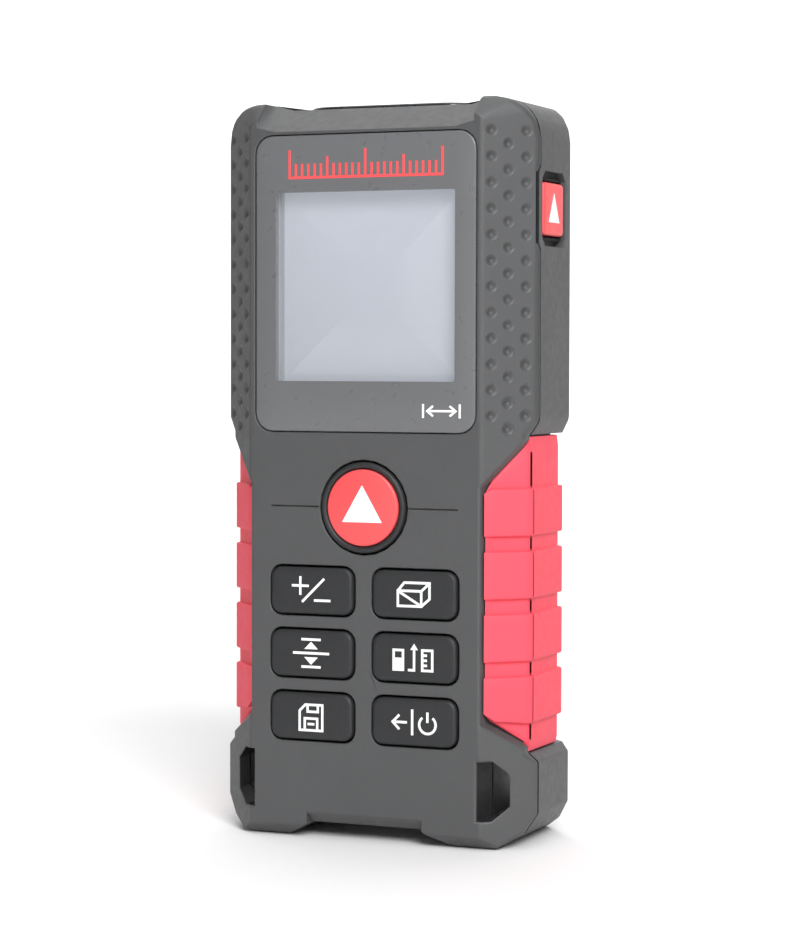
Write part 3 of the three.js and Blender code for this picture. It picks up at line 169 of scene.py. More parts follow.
def loft(loops):
    """A closed skin through loops of equal count, with a point in the middle of each end.

    loops is an array of loop, point and coordinate.
    """
    loops = np.asarray(loops, float)
    rings, count, _ = loops.shape
    points = np.vstack([loops.reshape(-1, 3), loops[0].mean(0), loops[-1].mean(0)])
    faces = grid_faces(rings, count, wrap=True)
    turn = np.arange(count)
    following = (turn + 1) % count
    start, end = rings * count, rings * count + 1
    last = (rings - 1) * count
    faces += np.stack([following, turn, np.full(count, start)], axis=1).tolist()
    faces += np.stack([last + turn, last + following, np.full(count, end)], axis=1).tolist()
    return points, faces


def slab(outer, inner):
    """A closed wall between two grids of the same size: both grids, and a strip along each border."""
    rows, cols, _ = outer.shape
    size = rows * cols
    points = np.vstack([outer.reshape(-1, 3), inner.reshape(-1, 3)])
    skin = np.array(grid_faces(rows, cols))
    faces = skin.tolist() + (skin[:, ::-1] + size).tolist()
    index = np.arange(size).reshape(rows, cols)
    border = np.concatenate([index[0, :-1], index[:-1, -1], index[-1, :0:-1], index[:0:-1, 0]])
    following = np.roll(border, -1)
    faces += np.stack([following, border, border + size, following + size], axis=1).tolist()
    return points, faces


def rounded_loop(width, height, radius, per_corner=8):
    """A rectangle with round corners, counter-clockwise: a quarter circle at each corner."""
    angle = np.linspace(0, math.pi / 2, per_corner)
    quarters = [angle + k * math.pi / 2 for k in range(4)]
    signs = ((1, 1), (-1, 1), (-1, -1), (1, -1))
    along, up = width / 2 - radius, height / 2 - radius
    corners = [
        np.stack([a * along + radius * np.cos(q), b * up + radius * np.sin(q)], axis=1)
        for (a, b), q in zip(signs, quarters)
    ]
    return np.vstack(corners)


def pad(width, height, radius, steps, axis="Y", at=(0, 0), per_corner=8):
    """A rounded rectangle carried through steps of (inset, level), each a smaller one at its level.

    axis is the direction the levels run in; at is the centre in the other two directions.
    """
    loops = []
    for inset, level in steps:
        small = max(radius - inset, SMALLEST_CORNER)
        loop = rounded_loop(width - 2 * inset, height - 2 * inset, small, per_corner) + np.array(at)
        flat = np.full(len(loop), float(level))
        loops.append(oriented(loop[:, 0], loop[:, 1], flat, axis))
    return loft(loops)


def rounding(radius, top, sign, steps=5):
    """Steps of (inset, level) round a quarter circle, from a pad's side onto its top at the given level."""
    angle = np.linspace(0, math.pi / 2, steps)
    return [(radius * (1 - math.cos(a)), top - sign * radius * (1 - math.sin(a))) for a in angle]


def hoop(loops):
    """A closed skin through loops of equal count, the last joined to the first."""
    loops = np.asarray(loops, float)
    rings, count, _ = loops.shape
    quads = np.array(grid_faces(rings + 1, count, wrap=True)) % (rings * count)
    return loops.reshape(-1, 3), quads.tolist()


def turned(profile, centre, axis, sides):
    """Loops of a profile of (radius, level) carried once round an axis line through centre."""
    profile = np.asarray(profile, float)
    turn = np.arange(sides) * 2 * math.pi / sides
    a = profile[:, :1] * np.cos(turn)
    b = profile[:, :1] * np.sin(turn)
    level = np.repeat(profile[:, 1:], sides, axis=1)
    return oriented(a + centre[0], b + centre[1], level, axis)


def lathe(profile, centre, axis="Y", sides=64):
    """A turned profile, closed at both ends."""
    return loft(turned(profile, centre, axis, sides))


def collar(profile, centre, sides=64):
    """A closed profile turned round an upright line: a ring with no ends."""
    return hoop(turned(profile, centre, "Z", sides))


def ribbon(points, width, closed=False):
    """Pairs of points along a flat line: the path moved half a width to each side, mitred at bends."""
    path = np.asarray(points, float)
    ahead = np.roll(path, -1, axis=0) - path
    behind = np.roll(ahead, 1, axis=0)
    if not closed:
        ahead[-1], behind[0] = behind[-1], ahead[0]
    ahead /= np.linalg.norm(ahead, axis=1, keepdims=True)
    behind /= np.linalg.norm(behind, axis=1, keepdims=True)
    across = np.stack([-(ahead + behind)[:, 1], (ahead + behind)[:, 0]], axis=1)
    across /= np.linalg.norm(across, axis=1, keepdims=True)
    stretch = 1 / np.clip(across[:, 0] * -ahead[:, 1] + across[:, 1] * ahead[:, 0], SHARPEST_MITRE, 1)
    move = across * (stretch * width / 2)[:, None]
    return np.stack([path + move, path - move], axis=1)


def printed(lines, width, centre, level, thickness=0.03):
    """Flat marks on a face at y = level: each is ("line", "loop" or "fill", points across and up).

    Each stands a hair further out than the one before, so that marks may cross.
    """
    parts = []
    for order, (kind, points) in enumerate(lines):
        top = level - thickness - order * PRINT_STEP
        through = np.array([0, thickness * 2, 0])
        if kind == "fill":
            loop = np.asarray(points, float)
            front = oriented(loop[:, 0], loop[:, 1], np.full(len(loop), top), "Y")
            parts.append(loft([front, front + through]))
            continue
        strip = ribbon(points, width, kind == "loop")
        front = oriented(strip[..., 0], strip[..., 1], np.full(strip.shape[:2], top), "Y")
        section = np.concatenate([front, (front + through)[:, ::-1]], axis=1)
        parts.append(hoop(section) if kind == "loop" else loft(section))
    shift = np.array([centre[0], 0, centre[1]])
    return [(points + shift, faces) for points, faces in parts]


def arc(radius, start, end, count=20, centre=(0, 0)):
    """Points along a circle between two angles in degrees."""
    angle = np.radians(np.linspace(start, end, count))
    return np.stack([centre[0] + radius * np.cos(angle), centre[1] + radius * np.sin(angle)], axis=1)


# ------------------------------------------------------------------ pieces
SEAM = 0.13  # corners of a CAD copy that are closer than this are joined, as no rounding fits between
FLAT_ANGLE = math.radians(0.6)  # faces of a CAD copy that meet below this are joined into one
EDGE_ANGLE = math.radians(18)  # edges flatter than this are not rounded
SHELL_SHARP = math.radians(32)
CLOSE_BY = 0.02  # how far above a face its line of sight starts


def placed(name, data):
    """A new object that is in the scene."""
    obj = bpy.data.objects.new(name, data)
    bpy.context.scene.collection.objects.link(obj)
    return obj


def joined(parts, scale=1.0):
    """All parts of (points, faces) in one bmesh."""
    bm = bmesh.new()
    for points, faces in parts:
        part = bpy.data.meshes.new("part")
        part.from_pydata((np.asarray(points) * scale).tolist(), [], faces)
        bm.from_mesh(part)
        bpy.data.meshes.remove(part)
    return bm


def to_mesh(bm, name):
    """The mesh of a bmesh, which is freed."""
    mesh = bpy.data.meshes.new(name)
    bm.to_mesh(mesh)
    bm.free()
    return mesh


def link(name, mesh, slot, body="body", replaced=(), look=None):
    """Puts a mesh into the scene as a piece that rides on a body; look is its finish, or else the slot's."""
    mesh.materials.clear()
    mesh.materials.append(finish(look or slot))
    obj = placed(name, mesh)
    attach(obj, body)
    if replaced:
        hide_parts(*replaced)
    return obj


def piece(name, parts, slot, body="body", replaced=(), smooth=38, look=None):
    """One object from parts in millimetres, welded, facing outwards, smooth below an angle in degrees."""
    bm = joined(parts, MM)
    bmesh.ops.remove_doubles(bm, verts=bm.verts, dist=1e-7)
    bmesh.ops.dissolve_degenerate(bm, edges=bm.edges, dist=1e-7)
    bmesh.ops.recalc_face_normals(bm, faces=bm.faces)
    mesh = to_mesh(bm, name)
    mesh.shade_smooth()
    mesh.set_sharp_from_angle(angle=math.radians(smooth))
    return link(name, mesh, slot, body, replaced, look)


def baked(obj):
    """The mesh of an object with its modifiers worked in."""
    graph = bpy.context.evaluated_depsgraph_get()
    graph.update()
    return bpy.data.meshes.new_from_object(obj.evaluated_get(graph))


def merged_copy(node):
    """A welded copy of a CAD node's mesh with its flat triangles joined, in millimetres."""
    bm = bmesh.new()
    bm.from_mesh(frame["nodes"][node].data)
    bmesh.ops.scale(bm, vec=(1 / MM,) * 3, verts=bm.verts)
    bmesh.ops.remove_doubles(bm, verts=bm.verts, dist=SEAM)
    bmesh.ops.dissolve_limit(bm, angle_limit=FLAT_ANGLE, verts=bm.verts, edges=bm.edges)
    bm.normal_update()
    return bm


def open_to_outside(bm, shut):
    """For each face, whether a line along its normal meets nothing; faces that shut picks are not outside."""
    tree = BVHTree.FromBMesh(bm)
    result = {}
    for face in bm.faces:
        start = face.calc_center_median() + face.normal * CLOSE_BY
        hit = tree.ray_cast(start, face.normal)[0]
        result[face] = hit is None and not shut(face)
    return result


def softened(node, shut, weigh, width, cutter=None):
    """A CAD node's shape with its outer edges rounded.

    weigh(edge, main) is how far a convex edge is rounded; main says that both its faces are outer ones.
    cutter, if given, is taken away from the rounded shape.
    """
    bm = merged_copy(node)
    outside = open_to_outside(bm, shut)
    layer = bm.edges.layers.float.new("bevel_weight_edge")
    for edge in bm.edges:
        if len(edge.link_faces) != 2 or not edge.is_convex or edge.calc_face_angle(0) < EDGE_ANGLE:
            continue
        outer = [outside[face] for face in edge.link_faces]
        if any(outer):
            edge[layer] = weigh(edge, all(outer)) / width
    scratch = placed(node + "_soft", to_mesh(bm, node + "_soft"))
    bevel = scratch.modifiers.new("Edges", "BEVEL")
    bevel.limit_method = "WEIGHT"
    bevel.offset_type = "OFFSET"
    bevel.width = width
    bevel.segments = 3
    bevel.use_clamp_overlap = False
    bevel.miter_outer = "MITER_SHARP"
    if cutter is not None:
        cut = scratch.modifiers.new("Details", "BOOLEAN")
        cut.operation = "DIFFERENCE"
        cut.solver = "MANIFOLD"
        cut.object = cutter
    done = baked(scratch)
    for used in (scratch, cutter):
        if used is not None:
            bpy.data.objects.remove(used)
    done.transform(Matrix.Scale(MM, 4))
    done.shade_smooth()
    done.set_sharp_from_angle(angle=SHELL_SHARP)
    return done


def two_weights(rim, hole):
    """Weights for softened: one for edges between outer faces, and one for those at an inner face."""
    return lambda edge, main: rim if main else hole


def weighted(obj):
    """Shades flat faces flat, and roundings smoothly between them."""
    normals = obj.modifiers.new("Normals", "WEIGHTED_NORMAL")
    normals.mode = "FACE_AREA"
    normals.keep_sharp = True
    return obj


# ------------------------------------------------------------------ materials
class Nodes:
    """A material's node tree, with its Principled shader and Object coordinates."""

    def __init__(self, name, base, rough, metallic=0.0, specular=0.5):
        self.material = bpy.data.materials.new(name)
        self.material.use_nodes = True
        self.tree = self.material.node_tree
        self.shader = self.tree.nodes["Principled BSDF"]
        self.shader.inputs["Base Color"].default_value = (*base, 1)
        self.shader.inputs["Roughness"].default_value = rough
        self.shader.inputs["Metallic"].default_value = metallic
        self.shader.inputs["Specular IOR Level"].default_value = specular
        self.coords = self.tree.nodes.new("ShaderNodeTexCoord").outputs["Object"]
        self.material.diffuse_color = (*base, 1)

    def node(self, kind, **values):
        made = self.tree.nodes.new(kind)
        for key, value in values.items():
            setattr(made, key, value)
        return made

    def join(self, source, target):
        self.tree.links.new(source, target)

    def feed(self, value, socket):
        """Joins an output to an input, or sets the input to a plain value."""
        if isinstance(value, bpy.types.NodeSocket):
            self.join(value, socket)
        else:
            socket.default_value = value

    def along(self, letter):
        """The Object coordinate along one axis, in metres."""
        split = self.node("ShaderNodeSeparateXYZ")
        self.join(self.coords, split.inputs["Vector"])
        return split.outputs[letter]

    def maths(self, operation, first, second=0.0):
        made = self.node("ShaderNodeMath", operation=operation)
        self.feed(first, made.inputs[0])
        self.feed(second, made.inputs[1])
        return made.outputs["Value"]

    def noise(self, size, detail=2.0, stretch=(1, 1, 1)):
        """Noise whose features are about size millimetres wide, stretched along the axes."""
        mapping = self.node("ShaderNodeMapping")
        mapping.inputs["Scale"].default_value = stretch
        self.join(self.coords, mapping.inputs["Vector"])
        made = self.node("ShaderNodeTexNoise")
        made.inputs["Scale"].default_value = 1 / (size * MM)
        made.inputs["Detail"].default_value = detail
        self.join(mapping.outputs["Vector"], made.inputs["Vector"])
        return made.outputs["Fac"]

    def between(self, source, low, high, start=0.3, stop=0.7):
        """Turns a value between start and stop into one between low and high."""
        made = self.node("ShaderNodeMapRange")
        for name, value in (("From Min", start), ("From Max", stop), ("To Min", low), ("To Max", high)):
            made.inputs[name].default_value = value
        self.join(source, made.inputs["Value"])
        return made.outputs["Result"]

    def mix(self, factor, first, second):
        """A colour from first to second as factor goes from 0 to 1."""
        made = self.node("ShaderNodeMix", data_type="RGBA")
        for socket, value in ((made.inputs[6], first), (made.inputs[7], second)):
            self.feed(value if isinstance(value, bpy.types.NodeSocket) else (*value, 1), socket)
        self.join(factor, made.inputs["Factor"])
        return made.outputs[2]

    def tint(self, base, factor, share):
        """Base colour that varies by a share as factor goes from 0 to 1."""
        dark = tuple(c * (1 - share) for c in base)
        light = tuple(min(1, c * (1 + share)) for c in base)
        self.join(self.mix(factor, dark, light), self.shader.inputs["Base Color"])

    def roughness(self, source):
        self.join(source, self.shader.inputs["Roughness"])

    def bump(self, *layers):
        """Layers of (height, depth in millimetres), each on top of the one before."""
        normal = None
        for height, depth in layers:
            made = self.node("ShaderNodeBump")
            made.inputs["Strength"].default_value = 1
            made.inputs["Distance"].default_value = depth * MM
            self.join(height, made.inputs["Height"])
            if normal is not None:
                self.join(normal, made.inputs["Normal"])
            normal = made.outputs["Normal"]
        self.join(normal, self.shader.inputs["Normal"])


def moulded(name, base, rough, grain, depth, share=0.06, specular=0.5, coat=0.0):
    """Moulded plastic or rubber: fine grain, a slow change of colour and of roughness.

    grain and depth are the width and height of the grain in millimetres, share the change of colour.
    """
    n = Nodes(name, base, rough, specular=specular)
    n.tint(base, n.noise(9, 3), share)
    n.roughness(n.between(n.noise(1.3, 3), rough * 0.9, min(1, rough * 1.12)))
    if depth > 0:
        n.bump((n.noise(grain, 2), depth), (n.noise(6, 2), depth * 1.5))
    n.shader.inputs["Coat Weight"].default_value = coat
    return n.material


def metal(name, base, rough, stretch=(1, 1, 1), depth=0.004):
    """Bare or plated metal: fine streaks along one direction, with duller patches."""
    n = Nodes(name, base, rough, metallic=1.0)
    streak = n.noise(0.25, 3, stretch)
    n.tint(base, streak, 0.1)
    n.roughness(n.between(n.noise(2.5, 3), rough * 0.8, rough * 1.3))
    n.bump((streak, depth))
    return n.material


def circuit_board(base):
    """Green solder mask over copper traces, with rows of small pads."""
    n = Nodes("circuit_board", base, 0.35)
    brick = n.node("ShaderNodeTexBrick")
    brick.inputs["Scale"].default_value = 260
    brick.inputs["Mortar Size"].default_value = 0.03
    brick.inputs["Color1"].default_value = (*base, 1)
    brick.inputs["Color2"].default_value = (*[c * 1.25 for c in base], 1)
    brick.inputs["Mortar"].default_value = (*[min(1, c * 1.9) for c in base], 1)
    turn = n.node("ShaderNodeMapping")
    turn.inputs["Rotation"].default_value = (math.pi / 2, 0, 0)
    n.join(n.coords, turn.inputs["Vector"])
    n.join(turn.outputs["Vector"], brick.inputs["Vector"])
    n.join(brick.outputs["Color"], n.shader.inputs["Base Color"])
    n.bump((brick.outputs["Fac"], 0.02), (n.noise(0.8), 0.01))
    return n.material


LCD_STRIP = 2.0  # width of the panel's dead border on the left, from the panel's edge
LCD_BLUR = 0.08  # half the width of the change from that border to the rest
LCD_DOT = 0.32
CELL_BAND = 0.22  # how far past a cell's middle its copper band starts, as a share of its length


def liquid_crystal(base):
    """Unlit panel under its polariser, painted as if lit: a slow painted gradient of light, lighter towards
    the top, and a painted glow (its colour is also sent out as emission), over a very fine dot lattice.
    """
    n = Nodes("lcd_glass", base, 0.16, specular=0.6)
    low, high = span("lcd_panel")
    # painted light: the panel is darker at its bottom and lighter at its top
    painted_light_rise = n.between(n.along("Z"), 0, 1, low[2] * MM, high[2] * MM)
    dark = tuple(c * 0.9 for c in base)
    light = tuple(min(1, c * 1.08) for c in base)
    dots = n.node("ShaderNodeTexVoronoi", feature="F1", distance="CHEBYCHEV")
    dots.inputs["Scale"].default_value = 1 / (LCD_DOT * MM)
    dots.inputs["Randomness"].default_value = 0
    n.join(n.coords, dots.inputs["Vector"])
    # the dot lattice also cuts the diffuse colour to about 0.6, to leave room for the painted glow
    lattice = n.between(dots.outputs["Distance"], 0.6, 0.594, 0.35, 0.5)
    edge = low[0] + LCD_STRIP
    lit = n.between(n.along("X"), 0, 1, (edge - LCD_BLUR) * MM, (edge + LCD_BLUR) * MM)
    tone_with_painted_light = n.mix(lit, tuple(c * 0.62 for c in base), n.mix(painted_light_rise, dark, light))
    # painted glow: the panel's colour is also sent out as emission, standing in for the light that falls on
    # it
    n.join(tone_with_painted_light, n.shader.inputs["Emission Color"])
    n.shader.inputs["Emission Strength"].default_value = 0.62
    shade = n.node("ShaderNodeMix", data_type="RGBA", blend_type="MULTIPLY")
    shade.inputs["Factor"].default_value = 1
    n.join(tone_with_painted_light, shade.inputs[6])
    n.join(lattice, shade.inputs[7])
    n.join(shade.outputs[2], n.shader.inputs["Base Color"])
    n.roughness(n.between(n.noise(3, 2), 0.12, 0.2))
    return n.material


def clear(name, base, alpha, rough=0.03):
    """Clear glass or acrylic that shows what is behind it, with a faint smear."""
    n = Nodes(name, base, rough, specular=0.6)
    n.shader.inputs["Alpha"].default_value = alpha
    n.tint(base, n.noise(4, 2), 0.04)
    n.roughness(n.between(n.noise(5, 3), rough, rough * 3))
    return n.material


def cell_jacket(base):
    """Printed sleeve of a battery cell: dark body, with a copper band round the end that has the button."""
    n = Nodes("battery_jacket", base, 0.3, specular=0.6)
    low, high = span("battery_cell_left")
    share = n.between(n.along("Z"), 0, 1, low[2] * MM, high[2] * MM)
    side = n.maths("SIGN", n.along("X"))
    band = n.maths("LESS_THAN", n.maths("MULTIPLY", n.maths("SUBTRACT", share, 0.5), side), -CELL_BAND)
    n.join(n.mix(band, base, (0.55, 0.25, 0.09)), n.shader.inputs["Base Color"])
    n.roughness(n.between(n.noise(2, 2), 0.22, 0.36))
    return n.material


MATERIALS = {}


def make_materials():
    """One finish for each material slot of the record, and one for the printed marks."""
    c = colours()
    black = (0.012, 0.012, 0.013)
    MATERIALS.update({
        "housing_plastic": moulded("housing_plastic", tuple(c.housing), 0.5, 0.22, 0.028, 0.05),
        "grip_rubber": moulded("grip_rubber", tuple(c.grip), 0.55, 0.3, 0.012, 0.04, 0.22),
        "display_window": moulded("display_window", tuple(c.window), 0.3, 2.5, 0.0, 0.02, 0.45, 0.1),
        "lcd_glass": liquid_crystal(tuple(c.lcd)),
        "light_guide": moulded("light_guide", (0.8, 0.82, 0.84), 0.35, 0.8, 0.006, 0.03),
        "key_rubber": moulded("key_rubber", tuple(c.key), 0.52, 0.25, 0.01, 0.08, 0.4),
        "red_plastic": moulded("red_plastic", tuple(c.red), 0.4, 0.35, 0.006, 0.03, 0.45),
        "black_rubber": moulded("black_rubber", black, 0.7, 0.4, 0.02, 0.1, 0.3),
        "black_plastic": moulded("black_plastic", (0.02, 0.02, 0.022), 0.4, 0.3, 0.012, 0.08),
        "bezel_plastic": moulded("bezel_plastic", (0.02, 0.02, 0.022), 0.28, 0.6, 0.004, 0.05, 0.55),
        "circuit_board": circuit_board((0.015, 0.11, 0.04)),
        "aluminium": metal("aluminium", (0.62, 0.63, 0.65), 0.42, (1, 1, 1), 0.02),
        "brass": metal("brass", (0.72, 0.5, 0.2), 0.3, (1, 1, 12)),
        "steel": metal("steel", (0.58, 0.58, 0.57), 0.3, (8, 1, 1)),
        "optical_glass": clear("optical_glass", (0.32, 0.18, 0.22), 0.55),
        "battery_jacket": cell_jacket((0.02, 0.03, 0.06)),
        "red_lead": moulded("red_lead", (0.45, 0.02, 0.02), 0.35, 0.5, 0.01),
        "label_plate": moulded("label_plate", (0.3, 0.305, 0.31), 0.42, 0.4, 0.006, 0.03),
        "printed_mark": moulded("printed_mark", tuple(c.legend), 0.5, 0.3, 0.004, 0.02),
        "lcd_tray": moulded("lcd_tray", (0.3, 0.305, 0.32), 0.5, 0.8, 0.004, 0.03),
        "clear_pane": clear("clear_pane", (0.8, 0.83, 0.86), 0.05, 0.05),
    })


def finish(slot):
    """The finish of a slot; the finishes are made when the first one is asked for."""
    if not MATERIALS:
        make_materials()
    return MATERIALS[slot]


# ------------------------------------------------------------------ housings
SLANT_COLUMNS = (1.24, 3.3, 5.5)  # across a side slant, from the edge of the flat front
DIMPLE_PITCH = 4.04
DIMPLE_TOP = HEIGHT - 5.5
DIMPLE_ROWS = 12
GROOVE_START, GROOVE_END, GROOVE_DEPTH = 7.75, 16.2, 0.12  # the engraved lines, from the middle outwards
SLOT_NEAR, SLOT_FAR, SLOT_TOP = 18.5, 24.6, 15.0
PARTING_NEAR, PARTING_FAR = -7.6, -6.0  # the joint steps forward beside the side key
WAIST = 58.0  # height of the step from the head to the waist
FOOT_TOP = 17.0
SCREW_FOOT = HEIGHT - 12.0  # above this, the screw holes in the back reach almost to the back's edge
BROW_FOOT = HEIGHT - 6.4  # above this, the flat front is only a strip between the window and the brow
WAIST_REACH = 4.0  # edges this near to the step at the waist get the small rounding
MEETING_EDGE = 0.1  # rounding where the housings meet
LEVEL_PLAY = 0.05
SLOT_DEEP, SLOT_RIM, SLOT_FOOT = 1.0, 0.9, 4.3  # the slots' walls get painted shade from these insets inwards


def dimple_tool(across, up, sign, width, depth):
    """A bowl sunk into a side slant: depth times the squared cosine of the way to its rim, closed above."""
    reach = width / 2
    out = np.linspace(0.02, 1, 7) * reach
    sunk = -depth * np.cos(out / reach * math.pi / 2) ** 2
    profile = np.vstack([np.column_stack([out, sunk]), [[reach * 1.02, 0.5], [AXIS_GAP, 0.5]]])
    points, faces = lathe(profile, (0, 0), axis="Z", sides=20)
    outward = np.array([sign * BEVEL_DEPTH, -BEVEL_WIDTH, 0]) / math.hypot(BEVEL_DEPTH, BEVEL_WIDTH)
    along = np.array([0.0, 0.0, 1.0])
    side = np.cross(along, outward)
    base = np.array([sign * (FLAT_HALF + across), FRONT + across * BEVEL_DEPTH / BEVEL_WIDTH, up])
    return points @ np.stack([side, along, outward]) + base, faces


def front_tool(s):
    """All that is sunk into the front housing: the dimples, and a line each side of the measure key."""
    parts = []
    for sign, _ in SIDES:
        for column, across in enumerate(SLANT_COLUMNS):
            start = DIMPLE_TOP - (column == 1) * DIMPLE_PITCH / 2
            ups = start - DIMPLE_PITCH * np.arange(DIMPLE_ROWS)
            parts += [dimple_tool(across, up, sign, s["dimple"], s["dimple_depth"]) for up in ups]
        ends = np.array([GROOVE_START, GROOVE_END]) * sign
        height = s["groove"]
        steps = [(0.12, FRONT + 0.3), (0, FRONT + GROOVE_DEPTH), (0, FRONT - 1)]
        centre = (ends.mean(), MEASURE_CENTRE[2])
        parts.append(pad(abs(ends[1] - ends[0]), height, height / 2 - 0.01, steps, at=centre, per_corner=4))
    bm = joined(parts)
    bmesh.ops.recalc_face_normals(bm, faces=bm.faces)
    return placed("front_tool", to_mesh(bm, "front_tool"))


def edge_place(edge, level):
    """Middle of an edge, and whether both its ends are at y = level."""
    ends = np.array([v.co for v in edge.verts])
    return ends.mean(0), (abs(ends[:, 1] - level) < LEVEL_PLAY).all()


def near_slot(point):
    """Whether a point is at a lanyard slot, in millimetres."""
    return SLOT_NEAR < abs(point[0]) < SLOT_FAR and point[2] < SLOT_TOP


def at_parting(point):
    """Whether a point is where the two housings meet, in millimetres."""
    return PARTING_NEAR < point[1] < PARTING_FAR


def front_weight(s):
    """How far each outer edge of the front housing is rounded, in millimetres."""
    rim, slim, slot, narrow, horn, low = 0.22, 0.5, 0.4, 0.13, 0.5, 0.35

    def weigh(edge, main):
        centre, on_front = edge_place(edge, FRONT)
        if on_front and centre[2] > BROW_FOOT:
            return narrow
        if at_parting(centre) and not main:
            return MEETING_EDGE
        if main and (centre[2] < FOOT_TOP or abs(centre[2] - WAIST) < WAIST_REACH):
            return low
        if main:
            return slim if on_front else s["edge"]
        if centre[2] > BROW_FOOT and abs(centre[0]) < FLAT_HALF:
            return horn
        return slot if near_slot(centre) else rim

    return weigh


def rear_weight(s):
    """How far each outer edge of the rear housing is rounded, in millimetres."""
    rim, low, back, head = 0.18, 0.35, 0.5, 0.05

    def weigh(edge, main):
        centre, on_back = edge_place(edge, BACK)
        if at_parting(centre) and not main:
            return MEETING_EDGE
        if main:
            if centre[2] < FOOT_TOP or abs(centre[2] - WAIST) < WAIST_REACH:
                return low
            return s["edge"] if not on_back else head if centre[2] > WAIST else back
        if on_back and centre[2] > SCREW_FOOT:
            return 0
        return low if near_slot(centre) else rim

    return weigh


def paint_gap_shade(shell, facing):
    """Painted shade: dark finishes on the walls inside the lanyard slots and on the faces where the housings
    meet, where the real plastic lies only in shade.

    facing is the way the meeting faces look along Y.
    """
    shell.data.materials.append(finish("black_plastic"))
    shell.data.materials.append(finish("black_rubber"))
    for face in shell.data.polygons:
        centre = face.center / MM
        deep = FRONT + SLOT_DEEP < centre[1] < BACK - SLOT_DEEP and abs(centre[0]) < SLOT_FAR - SLOT_RIM
        if near_slot(centre) and deep and centre[2] > SLOT_FOOT and abs(face.normal.y) < 0.3:
            # painted shade: the walls deep inside a slot get the black plastic
            face.material_index = 1
        if at_parting(centre) and face.normal.y * facing > 0.6:
            # painted shade: the faces where the housings meet get the black rubber, standing in for the
            # shadow deep in the joint
            face.material_index = 2


class METER_OT_housings(bpy.types.Operator):
    """Front and rear housing: rounded edges, dimples on the side slants and engraved lines"""

    bl_idname = "meter.housings"
    bl_label = "Housings"

    def execute(self, context):
        s = sizes()
        tool = front_tool(s)
        front = softened("front_housing", lambda face: face.normal.y > 0.3, front_weight(s), s["edge"], tool)
        rear = softened("rear_housing", lambda face: face.normal.y < -0.3, rear_weight(s), s["edge"])
        for name, mesh, facing in (("front_housing", front, 1), ("rear_housing", rear, -1)):
            shell = link(name + "_shell", mesh, "housing_plastic", replaced=[name])
            paint_gap_shade(shell, facing)
            weighted(shell)
        return {"FINISHED"}


# ------------------------------------------------------------------ grips
RIB_RISE = 0.55
RIB_HEIGHT = 7.5
RIB_PITCH = 9.87
RIB_COUNT = 4
FIRST_RIB = 19.5
GRIP_WALL = 1.3
GRIP_FLAT = 2.0
GRIP_LIP = 1.0
GRIP_EDGE_X = 20.2
GRIP_SIDE = 26.0  # half the width over the ribs
GRIP_SLANT = 4.6  # how far in from the side the slant starts
GRIP_FOOT, GRIP_HEAD = 5.0, 8.0  # the skin's ends slope by this much on the front
GRIP_BENDS = (0.35, 1.1)
GRIP_TUCK, TUCK_HEIGHT, TUCK_SHARE = 0.25, 0.3, 0.6
GRIP_REACH = 0.21  # the front and rear skins come this much nearer to each other than in the CAD
DEPTH = BACK - FRONT


def rounded_path(corners, radii, per_bend=7):
    """A path through corners, each bend replaced by a quadratic curve that starts and ends a radius away."""
    corners = np.asarray(corners, float)
    t = np.linspace(0, 1, per_bend)[:, None]
    parts = [corners[:1]]
    for before, corner, after, radius in zip(corners, corners[1:], corners[2:], radii):
        start = corner + (before - corner) / np.linalg.norm(before - corner) * radius
        end = corner + (after - corner) / np.linalg.norm(after - corner) * radius
        parts.append((1 - t) ** 2 * start + 2 * t * (1 - t) * corner + t**2 * end)
    parts.append(corners[-1:])
    return np.vstack(parts)


def grip_path(drop, low_depth, high_depth, front):
    """Level section of a grip's skin, sunk by drop, from the housing's edge to the parting line."""
    side = GRIP_SIDE - drop
    flat = GRIP_FLAT + drop
    start = side - GRIP_SLANT
    bend = flat + side - start
    near, far = (low_depth, high_depth) if front else (DEPTH - high_depth, DEPTH - low_depth)
    lip = GRIP_LIP if drop < GRIP_WALL else 0.0
    corners = [(GRIP_EDGE_X, flat - lip), (start, flat), (side, bend), (side, far)]
    path = rounded_path(corners, GRIP_BENDS)
    path[:, 1] = np.maximum(path[:, 1], near)
    return path if front else np.column_stack([path[:, 0], DEPTH - path[:, 1]])


def rib_stations():
    """Heights along the grip, and how far the skin stands out there from 0, in a groove, to 1, on a rib."""
    edge = [(-0.3, 0), (-0.06, 0.02), (0.0, 0.14), (0.05, 0.78), (0.14, 0.93), (0.32, 1.0), (1.2, 1.0)]
    stations = []
    for i in range(RIB_COUNT):
        low = FIRST_RIB + i * RIB_PITCH
        high = low + RIB_HEIGHT
        stations += [(low + dz, share) for dz, share in edge]
        stations += [(high - dz, share) for dz, share in edge[::-1]]
    return np.array(stations)


